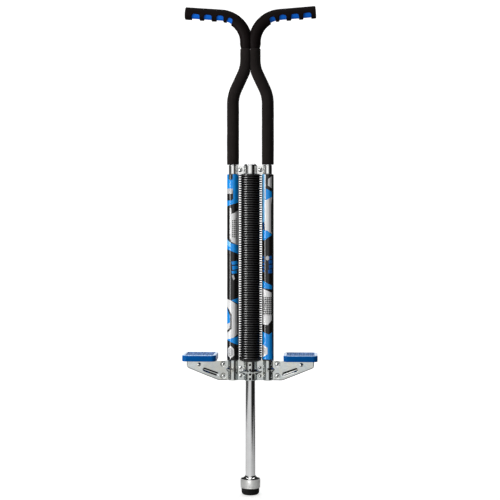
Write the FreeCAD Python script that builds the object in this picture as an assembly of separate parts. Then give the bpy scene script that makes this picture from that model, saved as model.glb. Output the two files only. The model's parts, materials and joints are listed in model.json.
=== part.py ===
import FreeCAD, Part
import os, math
from FreeCAD import Vector as V

os.makedirs("parts", exist_ok=True)

# Pogo stick, millimetres. +Z up, origin at the middle of the rubber tip's flat
# ground face. X runs across the footrests, -Y is the front.
#
# Two bent steel tubes run side by side from the footrest plates up to the
# handgrips. A pair of stamped plates clamps their lower ends, a two-piece
# clamp holds them above the spring, and a chromed piston slides on the
# centre line through a plastic bushing in each. A coil spring sits round the
# piston inside a ribbed cover, between a plate under the upper clamp and a
# flanged seat pinned to the piston.

# ---- shared dimensions ----------------------------------------------------
FIT = 0.05              # clearance between fixed parts
SLIDE_FIT = 0.06        # clearance of the tube seats and the sliding bores
FACE_GAP = 0.02         # clearance under heads and nuts, and round the piston

TUBE_R = 8.0
TUBE_X = 37.2           # half spacing of the frame tubes
TUBE_BORE_R = TUBE_R + FIT     # bore of whatever is pushed over a tube
TUBE_SEAT_R = TUBE_R + SLIDE_FIT

BARREL_R = 13.2         # centre barrel of plates and clamp, outside
PLATE_T = 1.5           # stamped steel
PLATE_LOW, PLATE_HIGH = 243.0, 286.0
GUIDE_HOLES = (276.2, 266.2, 256.2, 246.6)   # heights, in the centre barrel

RIVET_R = 2.45
RIVET_HOLE_R = RIVET_R + FIT
WEB_RIVETS = ((20.6, 270.0), (20.6, 252.3))      # x, z
OUTER_RIVETS = ((57.5, 277.6), (57.5, 252.2))    # x, z
PEDAL_RIVET_X, PEDAL_RIVET_Z = 108.8, 277.0

PISTON_R = 10.5
PISTON_BORE_R = PISTON_R - 1.5
PISTON_LOW, PISTON_HIGH = 31.2, 701.6
PISTON_FIXED_R = PISTON_R + FACE_GAP      # bore of the parts fixed to the piston
BUSH_BORE = PISTON_R + SLIDE_FIT

# ---- helpers ----------------------------------------------------------------
# Cutting bodies and trimming boxes overrun the parts they work on.
X, Y, Z = V(1, 0, 0), V(0, 1, 0), V(0, 0, 1)
SIDES = (("right", 1), ("left", -1))      # name, sign of x


def cyl(r, z0, z1, x=0.0):
    return Part.makeCylinder(r, z1 - z0, V(x, 0, z0), Z)


def ring(outer_r, inner_r, z0, z1, x=0.0):
    return cyl(outer_r, z0, z1, x).cut(cyl(inner_r, z0 - 1, z1 + 1, x))


def ycyl(r, x, z, y0, y1):
    return Part.makeCylinder(r, y1 - y0, V(x, y0, z), Y)


def box(x0, x1, y0, y1, z0, z1):
    return Part.makeBox(x1 - x0, y1 - y0, z1 - z0, V(x0, y0, z0))


def rounded_box(x0, x1, y0, y1, z0, z1, r):
    """Box with its upright edges rounded."""
    block = box(x0, x1, y0, y1, z0, z1)
    upright = [e for e in block.Edges if e.BoundBox.ZLength > (z1 - z0) * 0.9]
    return block.makeFillet(r, upright)


def polygon(points):
    """Closed wire through the points."""
    return Part.makePolygon(points + [points[0]])


def lathe(points):
    """Solid of revolution about Z from (r, z) points."""
    wire = polygon([V(r, 0, z) for r, z in points])
    return Part.Face(wire).revolve(V(0, 0, 0), Z, 360)


def hexagon(x, y, z, corner_r):
    """Hexagonal face across Y."""
    angles = [math.radians(a) for a in range(0, 360, 60)]
    points = [V(x + corner_r * math.cos(a), y, z + corner_r * math.sin(a)) for a in angles]
    return Part.Face(polygon(points))


def dome(x, z, y_face, head_r, head_h, side):
    """Domed head standing on the plane y = side * y_face."""
    ball_r = (head_r ** 2 + head_h ** 2) / (2 * head_h)
    ball = Part.makeSphere(ball_r, V(x, side * (y_face + head_h - ball_r), z))
    y0, y1 = sorted((side * y_face, side * (y_face + 10)))
    return ball.common(box(x - 10, x + 10, y0, y1, z - 10, z + 10))


def fuse(shapes):
    return shapes[0].multiFuse(shapes[1:]).removeSplitter()


def largest_solid(shape):
    return max(shape.Solids, key=lambda solid: solid.Volume)


def mirror_x(shape):
    return shape.mirror(V(0, 0, 0), X)


def mirror_y(shape):
    return shape.mirror(V(0, 0, 0), Y)


def middle(edge):
    return edge.valueAt((edge.FirstParameter + edge.LastParameter) / 2)


def try_fillet(shape, r, pick):
    """Fillets the edges that pick() names, all at once or else one by one."""
    edges = [e for e in shape.Edges if pick(e)]
    if not edges:
        return shape
    # guards against the kernel refusing to fillet all the edges together
    try:
        rounded = shape.makeFillet(r, edges)
        if rounded.isValid() and rounded.Volume > 0:
            return rounded
    except Exception:
        pass
    for place in [middle(e) for e in edges]:
        near = [e for e in shape.Edges if (middle(e) - place).Length < 0.05]
        if not near:
            continue
        # an edge that cannot be filleted stays sharp
        try:
            rounded = shape.makeFillet(r, near[:1])
            same_count = len(rounded.Solids) == len(shape.Solids)
            if rounded.isValid() and rounded.Volume > 0 and same_count:
                shape = rounded
        except Exception:
            pass
    return shape


def export(name, shape):
    if shape.ShapeType != "Solid":
        solids = shape.Solids
        shape = solids[0] if len(solids) == 1 else Part.makeCompound(solids)
    shape.exportStep(f"parts/{name}.step")


# ---- centre line of the right-hand frame tube, in the XZ plane -----------------
TUBE_LOW = PLATE_LOW + 1.5
NECK_X = 9.0            # half spacing where the tubes come together
S_START = 831.4         # height where the tubes start to bend inwards
S_R = 80.0              # bend radius of the S bend
S_ANGLE = 25.0
HANDLE_START = 963.7    # height where the handles start to bend outwards
HANDLE_R = 57.0
HANDLE_RISE = 4.3       # handles climb this many degrees towards their ends
HANDLE_END_X = 139.5


class Line:
    def __init__(self, start, end):
        self.start, self.end = start, end
        self.length = (end - start).Length
        self.tangent = (end - start).normalize()

    def at(self, d):
        return self.start + self.tangent * d, self.tangent

    def part(self, d0, d1):
        return Line(self.at(d0)[0], self.at(d1)[0])

    def sweep(self, face):
        return face.extrude(self.end - self.start)


class Arc:
    """Turns by angle degrees about +Y; negative swings the tube inwards."""

    def __init__(self, start, centre, angle):
        self.start, self.centre, self.angle = start, centre, angle
        self.radial = start - centre
        self.length = math.radians(abs(angle)) * self.radial.Length
        quarter = FreeCAD.Rotation(Y, -90 if angle < 0 else 90)
        self.tangent = quarter.multVec(self.radial).normalize()

    def at(self, d):
        turn = FreeCAD.Rotation(Y, self.angle * d / self.length)
        return self.centre + turn.multVec(self.radial), turn.multVec(self.tangent)

    def part(self, d0, d1):
        return Arc(self.at(d0)[0], self.centre, self.angle * (d1 - d0) / self.length)

    def sweep(self, face):
        return face.revolve(self.centre, Y, self.angle)


def centre_line():
    """Straights and arcs from the footrest up to the handle's end."""
    lean = math.radians(S_ANGLE)
    bend_width = S_R * (1 - math.cos(lean))
    slant = (TUBE_X - NECK_X - 2 * bend_width) / math.sin(lean)
    bend_start = V(TUBE_X, 0, S_START)
    slant_low = V(TUBE_X - bend_width, 0, S_START + S_R * math.sin(lean))
    slant_high = slant_low + V(-math.sin(lean), 0, math.cos(lean)) * slant
    upper_centre = slant_high + V(math.cos(lean), 0, math.sin(lean)) * S_R
    neck_high = V(NECK_X, 0, HANDLE_START)
    turn = math.radians(90.0 - HANDLE_RISE)
    handle_low = V(NECK_X + HANDLE_R * (1 - math.cos(turn)), 0,
                   HANDLE_START + HANDLE_R * math.sin(turn))
    rise = math.radians(HANDLE_RISE)
    along = V(math.cos(rise), 0, math.sin(rise))
    handle_end = handle_low + along * ((HANDLE_END_X - handle_low.x) / along.x)
    return [
        Line(V(TUBE_X, 0, TUBE_LOW), bend_start),
        Arc(bend_start, V(TUBE_X - S_R, 0, S_START), -S_ANGLE),
        Line(slant_low, slant_high),
        Arc(slant_high, upper_centre, S_ANGLE),
        Line(V(NECK_X, 0, upper_centre.z), neck_high),
        Arc(neck_high, V(NECK_X + HANDLE_R, 0, HANDLE_START), 90.0 - HANDLE_RISE),
        Line(handle_low, handle_end),
    ]


LINE = centre_line()
TOTAL = sum(seg.length for seg in LINE)
NECK_START = sum(seg.length for seg in LINE[:4])     # distance along the line
NECK_LOW = LINE[4].start.z


def point_at(d):
    """Point and unit tangent at distance d along the line."""
    for seg in LINE:
        if d <= seg.length + 1e-9:
            return seg.at(d)
        d -= seg.length
    raise ValueError("past the end")


def distance_at(z):
    """Distance of a height on the lower straight or on the neck straight."""
    if z <= S_START:
        return z - TUBE_LOW
    return NECK_START + (z - NECK_LOW)


def sweep(d0, d1, outer_r, inner_r=0.0):
    """Round bar or tube along the line between two distances."""
    solids, passed = [], 0.0
    for seg in LINE:
        first, last = max(d0 - passed, 0.0), min(d1 - passed, seg.length)
        passed += seg.length
        if last - first <= 1e-6:
            continue
        piece = seg.part(first, last)
        face = Part.Face(Part.Wire(Part.makeCircle(outer_r, piece.start, piece.tangent)))
        if inner_r > 0:
            hole = Part.Wire(Part.makeCircle(inner_r, piece.start, piece.tangent))
            face = face.cut(Part.Face(hole)).Faces[0]
        solids.append(piece.sweep(face).Solids[0])
    return fuse(solids)


def keep_clear(shape):
    """Squashed flat where the two sides meet on the centre plane."""
    return shape.cut(box(-60, 0.12, -40, 40, 700, 1100))


# ---- frame tubes, foam sleeves and handgrips ------------------------------------
TUBE_WALL = 1.4
TUBE_END = TOTAL - 5.0
FOAM_R = 13.0
FOAM_LOW, FOAM_HIGH = 702.4, 949.5

GRIP_R = 13.25
GRIP_LOW = 949.6        # lower end of the moulded grip
GRIP_END_FILLET = 2.5
GRIP_BORE_END = TOTAL - 4.5
GRIP_TAPER_R, GRIP_TAPER_H = 11.2, 9.0     # tapered lower end
GRIP_CORE_R = 10.25
CORE_START, CORE_END = TOTAL - 112.0, TOTAL - 6.0

# finger windows: distance of the centre from the right grip's end, width
WINDOWS = ((19.0, 17.0), (45.0, 16.5), (71.0, 15.0), (95.5, 12.0))
LEFT_SHIFT = 4.6        # the left grip's windows sit this much further in
WINDOW_TOP = -1.7       # from the handle's centre line
WINDOW_CORNER = 4.6


def frame_tube():
    return sweep(0, TUBE_END, TUBE_R, TUBE_R - TUBE_WALL)


def foam_sleeve():
    return keep_clear(sweep(distance_at(FOAM_LOW), distance_at(FOAM_HIGH), FOAM_R, TUBE_BORE_R))


def grip_core():
    """Inner sleeve that shows through the windows."""
    return sweep(CORE_START, CORE_END, GRIP_CORE_R, TUBE_BORE_R)


def grip_shell():
    """Grip before its windows are cut."""
    def outer_rim(edge):
        return edge.BoundBox.XMin > 130 and abs(edge.Length - 2 * math.pi * GRIP_R) < 0.5

    start = distance_at(GRIP_LOW)
    shell = sweep(start, TOTAL, GRIP_R)
    shell = try_fillet(shell, GRIP_END_FILLET, outer_rim)
    shell = shell.cut(sweep(start, GRIP_BORE_END, TUBE_BORE_R))
    shell = shell.cut(sweep(CORE_START - 0.1, CORE_END + 0.1, GRIP_CORE_R + FIT))
    taper_top = GRIP_LOW + GRIP_TAPER_H
    keep = Part.makeCone(GRIP_TAPER_R, GRIP_R, GRIP_TAPER_H, V(NECK_X, 0, GRIP_LOW), Z)
    keep = keep.fuse(cyl(GRIP_R, taper_top, taper_top + 3, NECK_X))
    return shell.cut(cyl(20, GRIP_LOW - 1, GRIP_LOW + 10.0, NECK_X).cut(keep))


def windowed(shell, shift):
    """Cuts the finger windows into the underside of the grip."""
    def top_edge(edge):
        bounds = edge.BoundBox
        return abs(bounds.ZMax - WINDOW_TOP) < 1e-6 and bounds.YLength > 50

    for centre, width in WINDOWS:
        place, along = point_at(TOTAL - centre - shift)
        across = V(-along.z, 0, along.x)      # upwards across the handle
        cutter = Part.makeBox(width, 60, 30, V(-width / 2, -30, -30 + WINDOW_TOP), Z)
        cutter = cutter.makeFillet(WINDOW_CORNER, [e for e in cutter.Edges if top_edge(e)])
        turn = FreeCAD.Rotation(along, V(0, 1, 0), across, "ZXY")
        cutter.Placement = FreeCAD.Placement(place, turn)
        shell = shell.cut(cutter)
    return keep_clear(shell)


# ---- footrest plates ---------------------------------------------------------
PLATE_END_X = 135.5
PLATE_END_LOW = 270.5   # lower corner of each end
PLATE_KINK_X = 68.0     # where the bottom edge starts to climb
PLATE_CORNER_R, PLATE_KINK_R = 6.0, 20.0
SIDE_BARREL_R = 9.6     # side barrels, outside
WEB_CREASE_R = 1.6      # where the barrels meet the flat webs

PAN_DEPTH = 9.0         # how far the raised wings stand forward
PAN_EDGE_R = 2.2
PAN_BACK = 5.0          # overlap behind the middle plane
RAMP_X0, RAMP_RISE = 48.0, 0.15    # the wings rise on a long ramp from here
CREASE_R = 40.0         # bend between ramp and flat face
SEAT_R = 5.8            # flat seat round each outer rivet

# shallow pressed groove along the ramp
GROOVE_INNER, GROOVE_OUTER = (70.8, 256.2), (98.0, 266.2)     # end centres, x, z
GROOVE_FACE_R, GROOVE_FLOOR_R = 4.3, 0.6    # half widths
GROOVE_DEPTH = 2.3

# pointed ridges out of the barrels: height of axis, then (base radius, reach)
CENTRE_RIDGE_Z, SIDE_RIDGE_Z = 262.0, 266.0
CENTRE_RIDGE, CENTRE_RIDGE_HOLLOW = (15.5, 27.5), (13.0, 23.5)
SIDE_RIDGE, SIDE_RIDGE_HOLLOW = (11.0, 18.5), (8.9, 14.5)
RIVET_FLAT = 7.1        # flat disc pressed round each web rivet

LUG_SLOT_X = (102.6, 115.4)    # slot in the top wall for a pedal lug
LUG_SLOT_Y = -6.7
GUIDE_HOLE_R = 2.3


def outline(inset, depth, corner_r):
    """Plate outline in XZ, extruded forward from the middle plane."""
    low, high = PLATE_LOW + inset, PLATE_HIGH - inset
    end_x = PLATE_END_X - inset
    end_low = PLATE_END_LOW + inset * 0.2
    kink_x = PLATE_KINK_X - inset * 0.3
    corners = [(-end_x, high), (end_x, high), (end_x, end_low),
               (kink_x, low), (-kink_x, low), (-end_x, end_low)]

    def runs_back_at(edge, x):
        bounds = edge.BoundBox
        return bounds.YLength > depth * 0.9 and abs(abs(bounds.XMin) - x) < 0.01

    plate = Part.Face(polygon([V(x, 0, z) for x, z in corners])).extrude(V(0, -depth, 0))
    ends = [e for e in plate.Edges if runs_back_at(e, end_x) and e.BoundBox.ZMin < 280]
    plate = plate.makeFillet(corner_r, ends)
    kinks = [e for e in plate.Edges
             if runs_back_at(e, kink_x) and e.BoundBox.ZMax < 250 + inset]
    return plate.makeFillet(PLATE_KINK_R, kinks)


def wing(inset, edge_r=0.0):
    """Raised pan of the right-hand wing: a ramp from the web, then a flat face.

    With no edge_r the pan's edges stay sharp and it ends at the middle plane.
    """
    def crease(edge):
        b = edge.BoundBox
        return b.XLength < 0.1 and b.ZLength > 15 and 90 < b.XMin < 104 and b.YMax < -5

    def face_edge(edge):
        b = edge.BoundBox
        upright = b.ZLength > 15 and b.XLength < 0.1 and b.XMin < 120
        forward = b.YMin < -PLATE_T - 0.5 and b.YMax < -0.5
        return forward and b.XMax > RAMP_X0 + 0.1 and not upright

    pan = outline(inset, PAN_DEPTH - inset + PAN_BACK, PLATE_CORNER_R - inset * 0.5)
    pan.translate(V(0, PAN_BACK, 0))
    pan = pan.common(box(RAMP_X0, 200, -50, 50, 200, 300))
    # everything in front of the sloping plane goes
    ramp_y = -PLATE_T + inset * math.hypot(1.0, RAMP_RISE)
    far_y = ramp_y - 80 * RAMP_RISE
    wedge = [V(RAMP_X0 - 5, ramp_y + 5 * RAMP_RISE, 200),
             V(RAMP_X0 + 80, far_y, 200),
             V(RAMP_X0 - 5, far_y, 200)]
    pan = pan.cut(Part.Face(polygon(wedge)).extrude(V(0, 0, 120)))
    pan = try_fillet(pan, CREASE_R - inset, crease)
    if edge_r:
        pan = try_fillet(pan, edge_r, face_edge)
    for x, z in OUTER_RIVETS:
        pan = pan.cut(ycyl(SEAT_R + inset, x, z, -50, 50))
    if not edge_r:
        pan = pan.cut(box(0, 200, 0, 50, 200, 320))
    return largest_solid(pan)


def groove(grow):
    """Groove cutter; grow is the sheet's thickness for its inner skin."""
    slope = (GROOVE_FACE_R - GROOVE_FLOOR_R) / GROOVE_DEPTH
    # widened so the sloping wall keeps the sheet's thickness
    side = grow * (math.hypot(1.0, slope) - slope)
    y0, y1 = -1.0, GROOVE_DEPTH + grow      # measured inwards from the face
    r0 = GROOVE_FACE_R + slope + grow * slope + side
    r1 = GROOVE_FLOOR_R + side
    start, end = [V(x, 0, z) for x, z in (GROOVE_INNER, GROOVE_OUTER)]
    along = (end - start).normalize()
    across = V(-along.z, 0, along.x)
    wires = []
    for y, r in ((y0, r0), (y1, r1)):
        half = across * r
        corners = (start + half, end + half, end - half, start - half)
        wires.append(polygon([V(p.x, y, p.z) for p in corners]))
    parts = [Part.makeLoft(wires, True, True)]
    for x, z in (GROOVE_INNER, GROOVE_OUTER):
        parts.append(Part.makeCone(r0, r1, y1 - y0, V(x, y0, z), Y))
    cutter = fuse(parts)
    # tilted onto the ramp about the ramp's top
    ramp_top_x = RAMP_X0 + (PAN_DEPTH - PLATE_T) / RAMP_RISE
    cutter.translate(V(-ramp_top_x, 0, 0))
    cutter.rotate(V(0, 0, 0), Z, -math.degrees(math.atan(RAMP_RISE)))
    cutter.translate(V(ramp_top_x, -PAN_DEPTH, 0))
    return cutter


def side_cone(x, z, size, side):
    """Cone running out sideways to a point; size is (base radius, reach)."""
    base_r, reach = size
    return Part.makeCone(base_r, 0.0, reach, V(x, 0, z), V(side, 0, 0))


def centre_ridge(size, side, flat_r, flat_y):
    """Ridge from the centre barrel, cut away round the web rivets up to flat_y."""
    ridge = side_cone(0, CENTRE_RIDGE_Z, size, side)
    for x, z in WEB_RIVETS:
        ridge = ridge.cut(ycyl(flat_r, side * x, z, -30, flat_y))
    return ridge


def plate_outside():
    base = outline(0.0, PLATE_T, PLATE_CORNER_R)
    pan = wing(0.0, PAN_EDGE_R).cut(groove(0.0))
    shapes = [base, pan, mirror_x(pan), cyl(BARREL_R, PLATE_LOW, PLATE_HIGH)]
    for _, side in SIDES:
        shapes += [
            cyl(SIDE_BARREL_R, PLATE_LOW, PLATE_HIGH, side * TUBE_X),
            centre_ridge(CENTRE_RIDGE, side, RIVET_FLAT, -PLATE_T),
            side_cone(side * TUBE_X, SIDE_RIDGE_Z, SIDE_RIDGE, side),
        ]
    return fuse(shapes).cut(box(-200, 200, 0, 100, 100, 400))


def plate_hollows():
    """Bodies that hollow the plate out to its sheet thickness."""
    pan = wing(PLATE_T).cut(groove(PLATE_T))
    low, high = PLATE_LOW - 1, PLATE_HIGH + 1
    shapes = [pan, mirror_x(pan), cyl(BARREL_R - PLATE_T, low, high)]
    for _, side in SIDES:
        ridge = centre_ridge(CENTRE_RIDGE_HOLLOW, side, RIVET_FLAT + PLATE_T, 30)
        shapes += [
            cyl(TUBE_SEAT_R, low, high, side * TUBE_X),
            largest_solid(ridge),
            side_cone(side * TUBE_X, SIDE_RIDGE_Z, SIDE_RIDGE_HOLLOW, side),
        ]
    return shapes


def footrest_plate():
    """Front plate."""
    def web_crease(edge):
        b = edge.BoundBox
        on_web = abs(b.YMin + PLATE_T) < 1e-3 and abs(b.YMax + PLATE_T) < 1e-3
        straight = edge.Curve.TypeId == "Part::GeomLine"
        return straight and b.ZLength > 5 and on_web and abs(b.XMin) < 50

    plate = plate_outside()
    for hollow in plate_hollows():
        plate = plate.cut(hollow)
    for _, side in SIDES:
        x0, x1 = sorted(side * x for x in LUG_SLOT_X)
        plate = plate.cut(box(x0, x1, LUG_SLOT_Y, 1, PLATE_HIGH - 4, PLATE_HIGH + 2))
    for _, side in SIDES:
        for x, z in WEB_RIVETS + OUTER_RIVETS + ((PEDAL_RIVET_X, PEDAL_RIVET_Z),):
            plate = plate.cut(ycyl(RIVET_HOLE_R, side * x, z, -30, 5))
    for z in GUIDE_HOLES:
        plate = plate.cut(ycyl(GUIDE_HOLE_R, 0, z, -30, -5))
    return try_fillet(largest_solid(plate), WEB_CREASE_R, web_crease)


def rivet(x, z, y_face, head_r=3.7, head_h=1.5, bore_r=1.5, bore_depth=2.6):
    """Rivet through both plates: a domed head and a short bore on each face."""
    heads = [dome(x, z, y_face, head_r, head_h, end) for end in (1, -1)]
    body = fuse([ycyl(RIVET_R, x, z, -y_face, y_face)] + heads)
    top = y_face + head_h
    for y0, y1 in ((-top - 1, -top + bore_depth), (top - bore_depth, top + 1)):
        body = body.cut(ycyl(bore_r, x, z, y0, y1))
    return body


def plate_rivets():
    return Part.makeCompound([rivet(side * x, z, PLATE_T + FACE_GAP)
                              for _, side in SIDES
                              for x, z in WEB_RIVETS + OUTER_RIVETS])


def pedal_rivet(side):
    return rivet(side * PEDAL_RIVET_X, PEDAL_RIVET_Z, PAN_DEPTH + FACE_GAP,
                 head_r=4.0, head_h=1.7)


# ---- pedals -------------------------------------------------------------------
PEDAL_X0, PEDAL_X1 = 71.0, 143.0
PEDAL_Y = 40.0          # half length, front to back
PEDAL_CORNER = 11.0
PEDAL_LOW, PEDAL_HIGH = PLATE_HIGH + FIT, 299.0
PEDAL_TOP_FILLET, PEDAL_BOTTOM_FILLET = 2.4, 0.8
PEDAL_WALL = 2.6
HOLLOW_TOP = PEDAL_HIGH - 4.2
TREAD_RIM, TREAD_DEPTH, TREAD_CORNER = 6.5, 1.6, 5.0    # sunk field on top
RIB_Y, RIB_Y_HALF = (-24.0, -6.6, 6.6, 24.0), 1.1       # ribs running along X
RIB_X, RIB_X_HALF = (86.0, 128.0), 1.0                  # ribs running along Y
BLOCK_X, BLOCK_Y = 6.0, 6.6     # half sizes of the solid block over the lug
LUG_X, LUG_Y, LUG_LOW = 5.8, 6.4, 271.4
STUD_X0, STUD_Y0 = PEDAL_X0 + TREAD_RIM + 5.9, -PEDAL_Y + TREAD_RIM + 5.4
STUD_PITCH_X, STUD_PITCH_Y = 9.44, 9.37
STUD_COLUMNS, STUD_ROWS = 6, 7
STUD_HALF_X, STUD_HALF_Y, STUD_H = 4.0, 3.0, 1.9


def inset_box(inset, z0, z1, corner_r):
    """Rounded box over the pedal's plan, drawn in all round."""
    return rounded_box(PEDAL_X0 + inset, PEDAL_X1 - inset,
                       -PEDAL_Y + inset, PEDAL_Y - inset, z0, z1, corner_r)


def pedal_hollow():
    """Space under the tread, less the ribs and the block over the lug."""
    hollow = inset_box(PEDAL_WALL, PEDAL_LOW - 1, HOLLOW_TOP, PEDAL_CORNER - PEDAL_WALL)
    for y in RIB_Y:
        hollow = hollow.cut(box(PEDAL_X0, PEDAL_X1, y - RIB_Y_HALF, y + RIB_Y_HALF, 200, 300))
    for x in RIB_X:
        hollow = hollow.cut(box(x - RIB_X_HALF, x + RIB_X_HALF, -50, 50, 200, 300))
    return hollow.cut(box(PEDAL_RIVET_X - BLOCK_X, PEDAL_RIVET_X + BLOCK_X,
                          -BLOCK_Y, BLOCK_Y, 200, 300))


def studs():
    """Raised diamonds on every second place of the grid."""
    found = []
    z = PEDAL_HIGH - 2
    for i in range(STUD_COLUMNS):
        for j in range(STUD_ROWS):
            if (i + j) % 2:
                continue
            x = STUD_X0 + i * STUD_PITCH_X
            y = STUD_Y0 + j * STUD_PITCH_Y
            diamond = [V(x - STUD_HALF_X, y, z), V(x, y - STUD_HALF_Y, z),
                       V(x + STUD_HALF_X, y, z), V(x, y + STUD_HALF_Y, z)]
            found.append(Part.Face(polygon(diamond)).extrude(V(0, 0, STUD_H)))
    return found


def pedal():
    body = inset_box(0.0, PEDAL_LOW, PEDAL_HIGH, PEDAL_CORNER)
    body = try_fillet(body, PEDAL_TOP_FILLET,
                      lambda edge: abs(edge.BoundBox.ZMin - PEDAL_HIGH) < 1e-6)
    body = try_fillet(body, PEDAL_BOTTOM_FILLET,
                      lambda edge: abs(edge.BoundBox.ZMax - PEDAL_LOW) < 1e-6)
    body = body.cut(inset_box(TREAD_RIM, PEDAL_HIGH - TREAD_DEPTH, PEDAL_HIGH + 1,
                              TREAD_CORNER))
    body = body.cut(pedal_hollow())
    # lug between the two plates, held by the pedal rivet
    body = body.fuse(box(PEDAL_RIVET_X - LUG_X, PEDAL_RIVET_X + LUG_X, -LUG_Y, LUG_Y,
                         LUG_LOW, PEDAL_HIGH - 4.0))
    body = body.cut(ycyl(RIVET_HOLE_R, PEDAL_RIVET_X, PEDAL_RIVET_Z, -10, 10))
    return body.multiFuse(studs()).removeSplitter()


# ---- lower bushing, bump stop, spring cover and its base ring ---------------------
NUB_R, NUB_Y0, NUB_Y1 = 2.2, 11.2, 12.5     # nubs that sit in the guide holes
BASE_SLOT_Y = 3.6       # half width of the base ring's slot

COVER_CREST, COVER_ROOT = 24.2, 19.4
COVER_LOW, COVER_HIGH = 289.1, 681.7
COVER_RIBS = 79
COVER_WALL = 0.9
COVER_SHOULDER = COVER_CREST - 0.7
COVER_SKIN_Z = 0.65     # how far the hollow of a rib stays inside its flanks


def bushing(outer_r, low, high, flange_r, flange_top):
    return lathe([(BUSH_BORE, low), (outer_r, low), (outer_r, high),
                  (flange_r, high), (flange_r, flange_top), (BUSH_BORE, flange_top)])


def lower_bushing():
    parts = [bushing(outer_r=BARREL_R - PLATE_T - FIT, low=PLATE_LOW, high=PLATE_HIGH + FIT,
                     flange_r=15.8, flange_top=PLATE_HIGH + 1.6)]
    for z in GUIDE_HOLES:
        parts.append(ycyl(NUB_R, 0, z, -NUB_Y1, -NUB_Y0))
        parts.append(ycyl(NUB_R, 0, z, NUB_Y0, NUB_Y1))
    return fuse(parts)


def bump_stop():
    return lathe([(11.2, 287.75), (15.6, 287.75), (16.6, 288.9),
                  (16.6, 291.4), (15.6, 292.5), (11.2, 292.5)])


def cover_base_ring():
    """Its skirt is slotted to straddle the footrest's top edge."""
    body = lathe([(13.4, 283.0), (15.2, 283.1), (18.5, 284.2), (22.5, 286.2),
                  (24.0, 287.8), (24.0, 289.0), (18.4, 289.0), (18.4, 290.8),
                  (18.0, 291.4), (17.5, 291.4), (17.5, 287.4), (16.3, 287.4),
                  (16.3, 285.95), (13.4, 285.95)])
    return body.cut(box(-40, 40, -BASE_SLOT_Y, BASE_SLOT_Y, 282, PLATE_HIGH + FIT))


def spring_cover():
    """Thin moulded bellows: every rib is hollow, chamfered at its crest."""
    pitch = (COVER_HIGH - COVER_LOW) / COVER_RIBS
    root, shoulder, crest = pitch * 0.30, pitch * 0.22, pitch * 0.09
    root_in, shoulder_in = root - COVER_SKIN_Z, shoulder - COVER_SKIN_Z
    root_bore, rib_bore = COVER_ROOT - COVER_WALL, COVER_SHOULDER - COVER_WALL
    centres = [COVER_LOW + (k + 0.5) * pitch for k in range(COVER_RIBS)]
    outside = [(COVER_ROOT, COVER_LOW)]
    for z in centres:
        outside += [(COVER_ROOT, z - root), (COVER_SHOULDER, z - shoulder),
                    (COVER_CREST, z - crest), (COVER_CREST, z + crest),
                    (COVER_SHOULDER, z + shoulder), (COVER_ROOT, z + root)]
    outside.append((COVER_ROOT, COVER_HIGH))
    inside = [(root_bore, COVER_HIGH)]
    for z in reversed(centres):
        inside += [(root_bore, z + root_in), (rib_bore, z + shoulder_in),
                   (rib_bore, z - shoulder_in), (root_bore, z - root_in)]
    inside.append((root_bore, COVER_LOW))
    return lathe(outside + inside)


# ---- piston and everything fixed to it ------------------------------------------
PIN_R, PIN_Z, PIN_HALF = 2.0, 303.0, 11.6
SEAT_FLANGE_R = 17.3
FERRULE_R = 21.1
FERRULE_LOW, FERRULE_HIGH = 14.5, 33.7
FERRULE_TOP_T = 2.6
TIP_R = 19.0


def cut_pin_hole(shape):
    return shape.cut(ycyl(PIN_R + FIT, 0, PIN_Z, -20, 20))


def piston_tube():
    return cut_pin_hole(ring(PISTON_R, PISTON_BORE_R, PISTON_LOW, PISTON_HIGH))


def piston_top_cap():
    plug_r = PISTON_BORE_R - FIT
    return lathe([(0, 688), (plug_r, 688), (plug_r, PISTON_HIGH + FIT),
                  (PISTON_R, PISTON_HIGH + FIT), (PISTON_R, 702.0), (12.4, 702.0),
                  (12.7, 702.5), (11.8, 703.3), (8.8, 704.1), (4.8, 704.6), (0, 704.8)])


def spring_seat():
    return cut_pin_hole(lathe([(PISTON_FIXED_R, 292.6), (SEAT_FLANGE_R, 292.6),
                               (SEAT_FLANGE_R, 295.8), (11.75, 295.8),
                               (11.75, 310.0), (PISTON_FIXED_R, 310.0)]))


def seat_pin():
    return ycyl(PIN_R, 0, PIN_Z, -PIN_HALF, PIN_HALF)


def thrust_washer():
    return ring(SEAT_FLANGE_R, 12.0, 295.9, 297.6)


def foot_ferrule():
    """Cup over the rubber tip, with a rolled bead near its lower edge."""
    low, high, bore = FERRULE_LOW, FERRULE_HIGH, TIP_R + 0.1
    # steps in from the outside radius, height
    skin = [(1.2, high), (0.35, high - 0.4), (0, high - 1.3),
            (0, low + 5.0), (0.55, low + 4.3), (0.6, low + 3.5),
            (0.2, low + 2.8), (0, low + 2.0), (0.05, low + 1.0),
            (0.7, low + 0.2), (1.4, low)]
    return lathe([(PISTON_FIXED_R, high)]
                 + [(FERRULE_R - step, z) for step, z in skin]
                 + [(bore, low), (bore, high - FERRULE_TOP_T),
                    (PISTON_FIXED_R, high - FERRULE_TOP_T)])


def foot_collar():
    low = FERRULE_HIGH + FIT
    return lathe([(PISTON_FIXED_R, low), (19.6, low), (20.0, 34.2), (19.6, 34.7),
                  (17.4, 35.2), (15.2, 36.0), (13.4, 37.2), (12.2, 38.6),
                  (11.7, 39.8), (11.2, 40.2), (PISTON_FIXED_R, 40.2)])


def rubber_tip():
    """Foot with a plug that reaches up into the piston."""
    return lathe([(0, 0), (13.2, 0), (15.6, 0.6), (17.6, 2.2), (18.7, 4.4),
                  (TIP_R, 7.2), (TIP_R, 31.0), (8.9, 31.0), (8.9, 56.0),
                  (7.9, 58.0), (0, 58.0)])


# ---- main spring ------------------------------------------------------------------
SPRING_WIRE_R = 2.5
SPRING_MEAN_R = 14.5
SPRING_LOW, SPRING_HIGH = 297.9, 678.9
SPRING_TURNS = 40


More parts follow.
